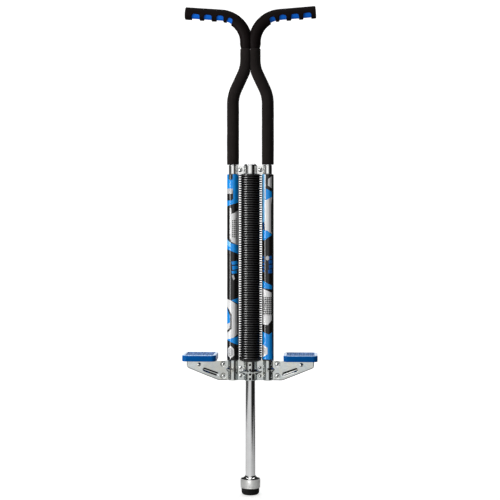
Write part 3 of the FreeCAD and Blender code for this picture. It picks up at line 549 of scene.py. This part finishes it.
def world():
    w = bpy.data.worlds.new("studio")
    scene.world = w
    w.use_nodes = True
    t = w.node_tree
    t.nodes.clear()
    link = t.links.new
    out = t.nodes.new("ShaderNodeOutputWorld")
    bg = t.nodes.new("ShaderNodeBackground")
    link(bg.outputs[0], out.inputs[0])
    tc = t.nodes.new("ShaderNodeTexCoord")
    yaw = math.radians(YAW)
    right = t.nodes.new("ShaderNodeVectorMath"); right.operation = "DOT_PRODUCT"
    back = t.nodes.new("ShaderNodeVectorMath"); back.operation = "DOT_PRODUCT"
    link(tc.outputs["Generated"], right.inputs[0]); link(tc.outputs["Generated"], back.inputs[0])
    right.inputs[1].default_value = (math.cos(yaw), math.sin(yaw), 0)
    back.inputs[1].default_value = (math.sin(yaw), -math.cos(yaw), 0)
    at2 = t.nodes.new("ShaderNodeMath"); at2.operation = "ARCTAN2"
    link(right.outputs["Value"], at2.inputs[0]); link(back.outputs["Value"], at2.inputs[1])
    sc = t.nodes.new("ShaderNodeMath"); sc.operation = "MULTIPLY_ADD"
    link(at2.outputs[0], sc.inputs[0]); sc.inputs[1].default_value = 1 / (2 * math.pi); sc.inputs[2].default_value = 0.5

    def by_azimuth(stops, scale=1.0):
        ramp = t.nodes.new("ShaderNodeValToRGB")
        link(sc.outputs[0], ramp.inputs[0])
        e = ramp.color_ramp.elements
        while len(e) < len(stops):
            e.new(0.5)
        for el, (deg, v) in zip(e, stops):
            el.position = deg / 360 + 0.5
            el.color = (v * scale, v * scale, v * scale, 1)
        return ramp.outputs[0]

    def between(v, a0, a1, b0=0.0, b1=1.0):
        n = t.nodes.new("ShaderNodeMapRange"); n.clamp = True
        link(v, n.inputs[0])
        for sock, x in zip(n.inputs[1:5], (a0, a1, b0, b1)):
            sock.default_value = x
        return n.outputs[0]

    def blend(f, a, b):
        n = t.nodes.new("ShaderNodeMix"); n.data_type = "RGBA"
        for sock, x in zip((n.inputs[0], n.inputs[6], n.inputs[7]), (f, a, b)):
            if isinstance(x, bpy.types.NodeSocket):
                link(x, sock)
            else:
                sock.default_value = x
        return n.outputs[2]

    # the room: the white wall behind, dark at the two sides, bright towards the front left
    room = by_azimuth([(-180, 1.0), (-146, 0.95), (-128, 0.25), (-110, 0.04), (-74, 0.035), (-56, 0.14), (-42, 0.42), (-30, 0.86), (-12, 0.98), (6, 0.82), (22, 0.46), (31, 0.06), (42, 0.010), (108, 0.012), (130, 0.25), (150, 0.95), (180, 1.0)])
    # how far below the horizon the paper on the floor starts, in degrees / 20
    edge = by_azimuth([(-180, 0.30), (-125, 0.47), (-100, 0.455), (-72, 0.42), (-45, 0.365), (-20, 0.30), (14, 0.30), (27, 0.50), (56, 0.53), (66, 0.45), (80, 0.45), (88, 0.53), (130, 0.52), (180, 0.30)])
    paper = by_azimuth([(-180, 0.55), (-90, 0.66), (-10, 0.72), (40, 0.52), (90, 0.40), (150, 0.30), (180, 0.55)])
    sep = t.nodes.new("ShaderNodeSeparateXYZ")
    link(tc.outputs["Generated"], sep.inputs[0])
    asin = t.nodes.new("ShaderNodeMath"); asin.operation = "ARCSINE"
    link(sep.outputs[2], asin.inputs[0])
    down = t.nodes.new("ShaderNodeMath"); down.operation = "MULTIPLY"
    link(asin.outputs[0], down.inputs[0]); down.inputs[1].default_value = -math.degrees(1.0) / 20.0
    diff = t.nodes.new("ShaderNodeMath"); diff.operation = "SUBTRACT"
    link(down.outputs[0], diff.inputs[0]); link(edge, diff.inputs[1])
    # above the top of the white wall the studio is dark, but for one narrow gap
    def product(a, b):
        n = t.nodes.new("ShaderNodeMath"); n.operation = "MULTIPLY"
        link(a, n.inputs[0]); link(b, n.inputs[1])
        return n.outputs[0]

    above = product(between(back.outputs["Value"], -0.30, -0.55), between(sep.outputs[2], 0.135, 0.175))
    gap = product(between(right.outputs["Value"], -0.085, -0.065), between(right.outputs["Value"], 0.0, 0.02, 1.0, 0.0))
    room = blend(above, room, blend(gap, (0.02, 0.02, 0.02, 1), (1.0, 1.0, 1.0, 1)))
    sky = between(sep.outputs[2], 0.80, 0.90)
    over = between(right.outputs["Value"], -0.34, -0.22)
    over2 = between(right.outputs["Value"], 0.0, 0.10, 1.0, 0.0)
    col = blend(sky, room, blend(product(over, over2), (0.03, 0.03, 0.03, 1), (1.0, 1.0, 1.0, 1)))
    col = blend(between(diff.outputs[0], -0.02, 0.03), col, paper)
    col = blend(between(sep.outputs[2], -0.5, -0.9), col, (0.06, 0.06, 0.06, 1))
    path = t.nodes.new("ShaderNodeLightPath")
    # past the edge of the floor the camera sees plain white, from any side
    col = blend(path.outputs["Is Camera Ray"], col, (0.97, 0.97, 0.97, 1))
    link(col, bg.inputs[0])
    fill = t.nodes.new("ShaderNodeMath"); fill.operation = "MULTIPLY_ADD"
    link(path.outputs["Is Diffuse Ray"], fill.inputs[0]); fill.inputs[1].default_value = -0.55; fill.inputs[2].default_value = 1.0
    link(fill.outputs[0], bg.inputs[1])


# ---------------------------------------------------------------- mesh tools
def smooth_group():
    """Geometry nodes: weld, then shade smooth except over sharp angles."""
    g = bpy.data.node_groups.new("weld_and_smooth", "GeometryNodeTree")
    g.interface.new_socket("Geometry", in_out="INPUT", socket_type="NodeSocketGeometry")
    g.interface.new_socket("Geometry", in_out="OUTPUT", socket_type="NodeSocketGeometry")
    gi, go = g.nodes.new("NodeGroupInput"), g.nodes.new("NodeGroupOutput")
    merge = g.nodes.new("GeometryNodeMergeByDistance")
    merge.inputs["Distance"].default_value = 1e-6
    face = g.nodes.new("GeometryNodeSetShadeSmooth"); face.domain = "FACE"
    edge = g.nodes.new("GeometryNodeSetShadeSmooth"); edge.domain = "EDGE"
    angle = g.nodes.new("GeometryNodeInputMeshEdgeAngle")
    cmp = g.nodes.new("FunctionNodeCompare"); cmp.data_type = "FLOAT"; cmp.operation = "GREATER_THAN"
    cmp.inputs[1].default_value = math.radians(32)
    g.links.new(gi.outputs[0], merge.inputs[0])
    g.links.new(merge.outputs[0], face.inputs[0])
    face.inputs["Shade Smooth"].default_value = True
    g.links.new(face.outputs[0], edge.inputs[0])
    g.links.new(angle.outputs["Unsigned Angle"], cmp.inputs[0])
    g.links.new(cmp.outputs[0], edge.inputs["Selection"])
    edge.inputs["Shade Smooth"].default_value = False
    g.links.new(edge.outputs[0], go.inputs[0])
    return g


SMOOTH = smooth_group()


def weld(o, bevel=0.0):
    if bevel:
        w = o.modifiers.new("weld", "WELD"); w.merge_threshold = 1e-6
        b = o.modifiers.new("bevel", "BEVEL")
        b.width = bevel; b.segments = 2; b.limit_method = "ANGLE"; b.angle_limit = math.radians(40)
        b.use_clamp_overlap = True
    m = o.modifiers.new("smooth", "NODES")
    m.node_group = SMOOTH


def remesh(o, voxel, rounds=3, factor=0.5):
    r = o.modifiers.new("remesh", "REMESH")
    r.mode = "VOXEL"; r.voxel_size = voxel; r.use_smooth_shade = True
    if rounds:
        s = o.modifiers.new("soften", "SMOOTH")
        s.factor = factor; s.iterations = rounds


def assign(o, mat):
    o.data.materials.clear()
    o.data.materials.append(mat)


def baked_copy(node, name, voxel, rounds, factor=0.5):
    """A new piece from a CAD node's shape, remeshed evenly so that it can be worked."""
    src = NODES[node]
    mesh = src.data.copy()
    o = bpy.data.objects.new(name, mesh)
    scene.collection.objects.link(o)
    remesh(o, voxel, rounds, factor)
    dg = bpy.context.evaluated_depsgraph_get()
    out = bpy.data.meshes.new_from_object(o.evaluated_get(dg))
    o.modifiers.clear()
    o.data = out
    for p in out.polygons:
        p.use_smooth = True
    return o


def lathe(name, profile, cx, cy, segments, wobble=None):
    """Closed ring of revolution from (r, z) points in metres, z absolute. wobble(angle, z) adds to the radius."""
    bm = bmesh.new()
    rings = []
    for k in range(segments):
        a = 2 * math.pi * k / segments
        ring = []
        for r, z in profile:
            rr = r + (wobble(a, z) if wobble else 0.0)
            ring.append(bm.verts.new((cx + rr * math.cos(a), cy + rr * math.sin(a), z)))
        rings.append(ring)
    n = len(profile)
    for k in range(segments):
        a, b = rings[k], rings[(k + 1) % segments]
        for i in range(n):
            j = (i + 1) % n
            bm.faces.new((a[i], b[i], b[j], a[j]))
    bmesh.ops.recalc_face_normals(bm, faces=bm.faces)
    mesh = bpy.data.meshes.new(name)
    bm.to_mesh(mesh)
    bm.free()
    for p in mesh.polygons:
        p.use_smooth = True
    o = bpy.data.objects.new(name, mesh)
    scene.collection.objects.link(o)
    return o


def sleeve(name, node, mat):
    """Printed film over foam: rolled ends and a slightly uneven wall."""
    lo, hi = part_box(node)
    c = (lo + hi) / 2
    R = (hi.x - lo.x) / 2 + 0.16 * MM
    wall = 1.7 * MM
    roll = 1.3 * MM
    prof = []
    steps = 150
    for k in range(7):
        a = math.pi / 2 * k / 6
        prof.append((R - roll + roll * math.sin(a), lo.z + roll - roll * math.cos(a)))
    for k in range(1, steps):
        prof.append((R, lo.z + roll + (hi.z - lo.z - 2 * roll) * k / steps))
    for k in range(7):
        a = math.pi / 2 * k / 6
        prof.append((R - roll + roll * math.cos(a), hi.z - roll + roll * math.sin(a)))
    prof.append((R - wall, hi.z))
    prof.append((R - wall, lo.z))
    seed = 3.1 if "left" in name else 8.7

    def wobble(a, z):
        v = Vector((math.cos(a) * 0.9 + seed, math.sin(a) * 0.9, z * 34.0))
        return -0.00012 * (0.5 + 0.5 * noise.noise(v)) - 0.00004 * (0.5 + 0.5 * noise.noise(v * 3.1))

    o = lathe(name, prof, c.x, c.y, 72, wobble)
    assign(o, mat)
    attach(o, "frame")
    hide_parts(node)
    return o


def bellows(name, node, mat):
    """Moulded ribs: rounded crests, narrow rounded valleys, a parting line down each side."""
    lo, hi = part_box(node)
    c = (lo + hi) / 2
    crest = (hi.x - lo.x) / 2
    root = crest - 4.7 * MM
    ribs = 79
    p = (hi.z - lo.z) / ribs
    prof = []
    for k in range(ribs):
        z = lo.z + (k + 0.5) * p
        prof.append((root, z - p * 0.47))
        prof.append((root + 0.15 * MM, z - p * 0.36))
        prof.append((root + 1.3 * MM, z - p * 0.27))
        prof.append((crest - 1.2 * MM, z - p * 0.225))
        prof.append((crest - 0.55 * MM, z - p * 0.205))
        prof.append((crest - 0.16 * MM, z - p * 0.185))
        prof.append((crest - 0.03 * MM, z - p * 0.15))
        prof.append((crest, z - p * 0.06))
        prof.append((crest, z + p * 0.06))
        prof.append((crest - 0.03 * MM, z + p * 0.15))
        prof.append((crest - 0.16 * MM, z + p * 0.185))
        prof.append((crest - 0.55 * MM, z + p * 0.205))
        prof.append((crest - 1.2 * MM, z + p * 0.225))
        prof.append((root + 1.3 * MM, z + p * 0.27))
        prof.append((root + 0.15 * MM, z + p * 0.36))
        prof.append((root, z + p * 0.47))
    prof.append((root - 0.8 * MM, hi.z))
    prof.append((root - 0.8 * MM, lo.z))

    def wobble(a, z):
        rib = math.floor((z - lo.z) / p)
        line = 0.0
        s = 0.00010 * noise.noise(Vector((math.cos(a) + rib * 1.7, math.sin(a), rib * 0.9)))
        seam = max(0.0, 1.0 - abs(math.sin(a - 0.1)) / 0.05)
        return -0.0001 + s + 0.00018 * seam

    o = lathe(name, prof, c.x, c.y, 64, wobble)
    assign(o, mat)
    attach(o, "frame")
    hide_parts(node)
    return o


def coil(name, node, mat):
    """Coil spring with closed ends, as one swept wire."""
    lo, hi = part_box(node)
    wire = 2.5 * MM
    R = (hi.x - lo.x) / 2 - wire
    z0, z1 = lo.z + wire, hi.z - wire
    turns = 40.0
    per = 26
    total = int((turns + 3) * per)
    pts = []
    for k in range(total + 1):
        t = k / per
        # one and a half close turns at each end
        if t < 1.5:
            z = z0 + t * 0.0051
        elif t > turns + 1.5:
            z = z1 - (turns + 3 - t) * 0.0051
        else:
            f = (t - 1.5) / turns
            z = z0 + 0.00765 + f * (z1 - z0 - 0.0153)
        a = 2 * math.pi * t
        pts.append(Vector((R * math.cos(a), R * math.sin(a), z)))
    bm = bmesh.new()
    seg = 10
    prev = None
    for i, q in enumerate(pts):
        d = (pts[min(i + 1, total)] - pts[max(i - 1, 0)]).normalized()
        out = Vector((q.x, q.y, 0)).normalized()
        up = d.cross(out).normalized()
        ring = [bm.verts.new(q + out * (wire * math.cos(2 * math.pi * j / seg)) + up * (wire * math.sin(2 * math.pi * j / seg))) for j in range(seg)]
        if prev:
            for j in range(seg):
                bm.faces.new((prev[j], prev[(j + 1) % seg], ring[(j + 1) % seg], ring[j]))
        else:
            bm.faces.new(list(reversed(ring)))
        prev = ring
    bm.faces.new(prev)
    bmesh.ops.recalc_face_normals(bm, faces=bm.faces)
    mesh = bpy.data.meshes.new(name)
    bm.to_mesh(mesh); bm.free()
    for f in mesh.polygons:
        f.use_smooth = True
    o = bpy.data.objects.new(name, mesh)
    scene.collection.objects.link(o)
    assign(o, mat)
    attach(o, "frame")
    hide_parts(node)
    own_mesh(o)
    return o


def foam_sleeve(name, node, mat):
    """Foam tube: evenly remeshed, softened ends, shallow dents and creases inside the bends."""
    o = baked_copy(node, name, 1.15 * MM, 4)
    me = o.data
    n = len(me.vertices)
    co = np.zeros(n * 3); me.vertices.foreach_get("co", co); co = co.reshape(-1, 3)
    nor = np.zeros(n * 3); me.vertices.foreach_get("normal", nor); nor = nor.reshape(-1, 3)
    side = 1.0 if "right" in name else -1.0
    seed = 5.0 if side > 0 else 21.0
    for i in range(n):
        p = Vector(co[i])
        q = p * 1000.0
        d = 0.00022 * noise.noise(Vector((q.x / 15 + seed, q.y / 15, q.z / 24)))
        d += 0.00010 * noise.noise(Vector((q.x / 4 + seed, q.y / 4, q.z / 5)))
        # creases on the inner side of each bend
        lower = math.exp(-((q.z - 848) / 13) ** 2) * max(0.0, -side * nor[i][0])
        upper = math.exp(-((q.z - 909) / 13) ** 2) * max(0.0, side * nor[i][0])
        crease = math.sin(q.z * 2 * math.pi / 5.3 + 0.6 * noise.noise(q / 9))
        d -= 0.00032 * (lower + upper) * (0.5 + 0.5 * crease)
        d -= 0.00012
        co[i] += nor[i] * d
    me.vertices.foreach_set("co", co.ravel())
    me.update()
    assign(o, mat)
    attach(o, "frame")
    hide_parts(node)
    return o


# ---------------------------------------------------------------- build
chrome = bright_metal("piston_chrome", (0.90, 0.905, 0.91), (0.035, 0.075))
tube_mat = bright_metal("tube_chrome", (0.80, 0.81, 0.82), (0.05, 0.10))
collar_mat = collar_metal("collar_chrome")
cup_mat = dull_zinc("ferrule_zinc")
plate_mat = plate_zinc("plate_zinc")
clamp_mat = plate_zinc("clamp_zinc", (0.97, 0.97, 0.95), (0.96, 0.97, 0.97), (0.88, 0.89, 0.89), 0.00006)
fast_mat = satin_zinc("fastener_zinc", (0.64, 0.65, 0.64))
spring_mat = satin_zinc("spring_steel_oiled", (0.12, 0.12, 0.13))
washer_mat = satin_zinc("washer_steel", (0.45, 0.46, 0.47))
foam_mat = foam("foam_black")
liner_mat = foam("liner_foam", (0.03, 0.03, 0.031))
tip_mat = tip_rubber("tip_rubber")
bump_mat = plastic("bumper_rubber", (0.016, 0.016, 0.016), (0.5, 0.65), 0.0004, 0.00003, 0.4).mat
nylon_mat = plastic("bushing_nylon", (0.018, 0.018, 0.019), (0.5, 0.62), 0.0004, 0.00002, 0.06).mat
cover = plastic("cover_gloss", (0.0038, 0.0036, 0.0038), (0.16, 0.26), 0.0006, 0.000008, 0.15, worn=(0.02, 0.02, 0.02), edge_amount=0.10)
cx, cy, cz = cover.split(cover.coord)
cr = cover.math("SQRT", cover.math("ADD", cover.math("MULTIPLY", cx, cx), cover.math("MULTIPLY", cy, cy)))
lo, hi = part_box("spring_cover")
crest_r = (hi.x - lo.x) / 2
# painted shade: the valleys between the crests keep only a small part of the crests' reflection
shine = cover.math("MULTIPLY", cover.range(cr, crest_r - 1.3 * MM, crest_r - 0.35 * MM, 0.03, 1.0), cover.range(cover.noise(0.004, cover.scaled(cover.coord, 0.3, 0.3, 1.4), 3.0), 0.35, 0.65, 0.046, 0.062))
cover.flat_gloss(shine, cover.range(cover.noise(0.02, None, 3.0), 0.3, 0.7, 0.22, 0.30))
cover_mat = cover.mat
grip = plastic("grip_rubber", (0.0080, 0.0056, 0.0056), (0.42, 0.58), 0.0004, 0.00004, 0.06, worn=(0.03, 0.028, 0.027), edge_amount=0.20)
grip.flat_gloss(0.003, 0.5)
grip_mat = grip.mat
core = plastic("grip_blue", (0.0025, 0.135, 0.68), (0.38, 0.52), 0.0004, 0.00003, 0.3)
core.flat_gloss(0.010, 0.45)
core_mat = core.mat


def pedal_material():
    m = plastic("pedal_blue", (0.0008, 0.088, 0.34), (0.24, 0.34), 0.00035, 0.00002, 0.32, worn=(0.12, 0.24, 0.44), edge_amount=0.3)
    # the tread inside the rim is duller from wear; its top faces are painted paler, partly dust and partly painted
    # light from above
    x, y, z = m.split(m.coord)
    lo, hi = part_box("pedal_right")
    mid = (lo + hi) / 2
    half = (hi - lo) / 2
    g = m.node("ShaderNodeNewGeometry")
    nx, ny, nz = m.split(g.outputs["Normal"])
    top = m.range(nz, 0.6, 0.9, 0.0, 1.0)
    ix = m.range(m.math("ABSOLUTE", m.math("SUBTRACT", m.math("ABSOLUTE", x), mid.x)), half.x - 0.0078, half.x - 0.0064, 1.0, 0.0)
    iy = m.range(m.math("ABSOLUTE", m.math("SUBTRACT", y, mid.y)), half.y - 0.0078, half.y - 0.0064, 1.0, 0.0)
    tread = m.math("MULTIPLY", top, m.math("MULTIPLY", ix, iy))
    high = m.range(z, 0.2970, 0.2988, 0.72, 1.0)
    dust = m.range(m.noise(0.010, None, 5.0, 0.7), 0.30, 0.68, 0.62, 1.0)
    base = m.bsdf.inputs["Base Color"].links[0].from_socket
    fac = m.math("MULTIPLY", m.math("MULTIPLY", tread, high), m.math("MULTIPLY", dust, 0.80))
    col = m.mix(fac, base, (0.24, 0.35, 0.55))
    # painted highlight: the top faces of the rim are painted pale blue, as if lit from above; the rim is also made
    # glossier below
    rim = m.math("MULTIPLY", top, m.math("SUBTRACT", 1.0, m.math("MULTIPLY", ix, iy)))
    col = m.mix(m.math("MULTIPLY", rim, 0.85), col, (0.34, 0.62, 0.98))
    m.set("Base Color", col)
    rough = m.bsdf.inputs["Roughness"].links[0].from_socket
    rough = m.math("MULTIPLY_ADD", tread, 0.22, rough)
    m.set("Roughness", m.math("MAXIMUM", 0.05, m.math("MULTIPLY_ADD", rim, -0.24, rough)))
    m.set("Specular IOR Level", m.math("MULTIPLY_ADD", rim, 0.35, m.math("MULTIPLY_ADD", top, 0.5, 0.03)))
    return m.mat


pedal_mat = pedal_material()

simple = {
    "piston_tube": (chrome, 0.0), "piston_top_cap": (chrome, 0.0), "foot_collar": (collar_mat, 0.0),
    "foot_ferrule": (cup_mat, 0.0), "frame_tube_left": (tube_mat, 0.0), "frame_tube_right": (tube_mat, 0.0),
    "rubber_tip": (tip_mat, 0.0), "seat_pin": (washer_mat, 0.0002), "spring_seat": (washer_mat, 0.0002),
    "thrust_washer": (washer_mat, 0.0001), "upper_spring_plate": (washer_mat, 0.0002),
    "bump_stop": (bump_mat, 0.0003), "cover_base_ring": (bump_mat, 0.0004),
    "lower_bushing": (nylon_mat, 0.0), "upper_bushing": (nylon_mat, 0.0),
    "clamp_bolts": (fast_mat, 0.0), "clamp_nuts": (fast_mat, 0.0002), "plate_rivets": (fast_mat, 0.0),
    "pedal_rivet_left": (fast_mat, 0.0), "pedal_rivet_right": (fast_mat, 0.0),
    "sleeve_liner_left": (liner_mat, 0.0004), "sleeve_liner_right": (liner_mat, 0.0004),
    "grip_core_left": (core_mat, 0.0), "grip_core_right": (core_mat, 0.0),
}
for node, (mat, bev) in simple.items():
    assign(NODES[node], mat)
    weld(NODES[node], bev)

for node, mat, voxel, rounds in (
    ("footrest_plate_front", plate_mat, 0.55, 4), ("footrest_plate_rear", plate_mat, 0.55, 4),
    ("upper_clamp_front", clamp_mat, 0.45, 3), ("upper_clamp_rear", clamp_mat, 0.45, 3),
    ("pedal_left", pedal_mat, 0.65, 2), ("pedal_right", pedal_mat, 0.65, 2),
    ("grip_left", grip_mat, 0.65, 3), ("grip_right", grip_mat, 0.65, 3),
):
    assign(NODES[node], mat)
    remesh(NODES[node], voxel * MM, rounds)

sleeve("printed_sleeve_left", "graphic_sleeve_left", print_left())
sleeve("printed_sleeve_right", "graphic_sleeve_right", print_right())
bellows("ribbed_cover", "spring_cover", cover_mat)
coil("coil_spring", "main_spring", spring_mat)
foam_sleeve("foam_left", "foam_sleeve_left", foam_mat)
foam_sleeve("foam_right", "foam_sleeve_right", foam_mat)


# ---------------------------------------------------------------- stage
def backdrop():
    """One seamless sweep: floor, curve and wall."""
    bm = bmesh.new()
    prof = [(-6.0, 0.0)] + [(2.2, 0.0)]
    for k in range(1, 13):
        a = math.pi / 2 * k / 12
        prof.append((2.2 + 1.2 * math.sin(a), 1.2 - 1.2 * math.cos(a)))
    prof.append((3.4, 5.0))
    cols = []
    for x in (-7.0, 7.0):
        cols.append([bm.verts.new((x, y, z)) for y, z in prof])
    for i in range(len(prof) - 1):
        bm.faces.new((cols[0][i], cols[1][i], cols[1][i + 1], cols[0][i + 1]))
    mesh = bpy.data.meshes.new("studio_sweep")
    bm.to_mesh(mesh); bm.free()
    for p in mesh.polygons:
        p.use_smooth = True
    o = bpy.data.objects.new("studio_sweep", mesh)
    scene.collection.objects.link(o)
    m = Tree("studio_paper")
    m.set("Base Color", m.mix(m.noise(0.5), (0.60, 0.60, 0.60), (0.62, 0.62, 0.62)))
    m.set("Roughness", 0.9)
    m.set("Specular IOR Level", 0.0)
    m.set("Emission Color", (1, 1, 1, 1))
    # bright to the camera, dim as a lamp, so that the paper reads white without washing out the metal
    lp = m.node("ShaderNodeLightPath")
    m.set("Emission Strength", m.math("MULTIPLY_ADD", lp.outputs["Is Camera Ray"], 0.62, 0.06))
    assign(o, m.mat)
    o.visible_glossy = False


def area(name, loc, target, size, size_y, power, colour=(1, 1, 1)):
    d = bpy.data.lights.new(name, "AREA")
    d.shape = "RECTANGLE"; d.size = size; d.size_y = size_y
    d.energy = power; d.color = colour
    o = bpy.data.objects.new(name, d)
    scene.collection.objects.link(o)
    o.location = loc
    o.rotation_mode = "QUATERNION"
    o.rotation_quaternion = (Vector(loc) - Vector(target)).to_track_quat("Z", "Y")
    return o


world()
backdrop()


def around(theta, dist, z):
    """A place at an angle from the camera's side of the object, positive to the right."""
    a = math.radians(YAW + theta)
    return (math.sin(a) * dist, -math.cos(a) * dist, z)


area("key", around(-46, 2.3, 1.5), (0, 0, 0.5), 1.0, 1.2, 7)
area("top", (0.0, -0.1, 2.9), (0, 0, 0.5), 1.6, 1.6, 20)
area("paper_light", (0, 1.6, 3.6), (0, 3.0, 0.6), 4.0, 1.0, 60)
strip = area("strip", around(-57, 1.35, 0.60), (0, 0, 0.52), 0.24, 1.8, 21)
# the tall box at the left is kept off the polished parts, which would show it as a burnt stripe
lit = bpy.data.collections.new("lit_by_strip")
for o in scene.objects:
    if o.type == "MESH" and o.name not in ("studio_sweep", "ribbed_cover", "piston_tube", "foot_collar", "foot_ferrule", "frame_tube_left", "frame_tube_right",
                                            "footrest_plate_front", "footrest_plate_rear", "upper_clamp_front", "upper_clamp_rear"):
        lit.objects.link(o)
strip.light_linking.receiver_collection = lit
# a wider box of the same brightness for the ribs alone, so that each crest carries a short soft streak
wide = area("wide_strip", around(-50, 1.35, 0.60), (0, 0, 0.52), 0.50, 1.8, 43)
ribs = bpy.data.collections.new("lit_by_wide_strip")
ribs.objects.link(bpy.data.objects["ribbed_cover"])
wide.light_linking.receiver_collection = ribs
# a small card near the floor lifts the dull cup of the foot
card = area("card", around(-14, 0.9, 0.24), (0, 0, 0.025), 0.5, 0.3, 3.6)
low = bpy.data.collections.new("lit_by_card")
low.objects.link(NODES["foot_ferrule"])
card.light_linking.receiver_collection = low

cam_data = bpy.data.cameras.new("camera")
cam = bpy.data.objects.new("camera", cam_data)
scene.collection.objects.link(cam)
scene.camera = cam
DIST = 2.40
EYE = 0.548
yaw = math.radians(YAW)
cam.location = (math.sin(yaw) * DIST, -math.cos(yaw) * DIST, EYE)
cam.rotation_mode = "QUATERNION"
cam.rotation_quaternion = Vector((math.sin(yaw), -math.cos(yaw), 0.0)).to_track_quat("Z", "Y")
cam_data.sensor_width = 36.0
cam_data.lens = 36.0 * DIST / 1.0665
cam_data.shift_y = (0.5205 - EYE) / 1.0665
cam_data.shift_x = -0.0008
cam_data.clip_start = 0.05
cam_data.clip_end = 50
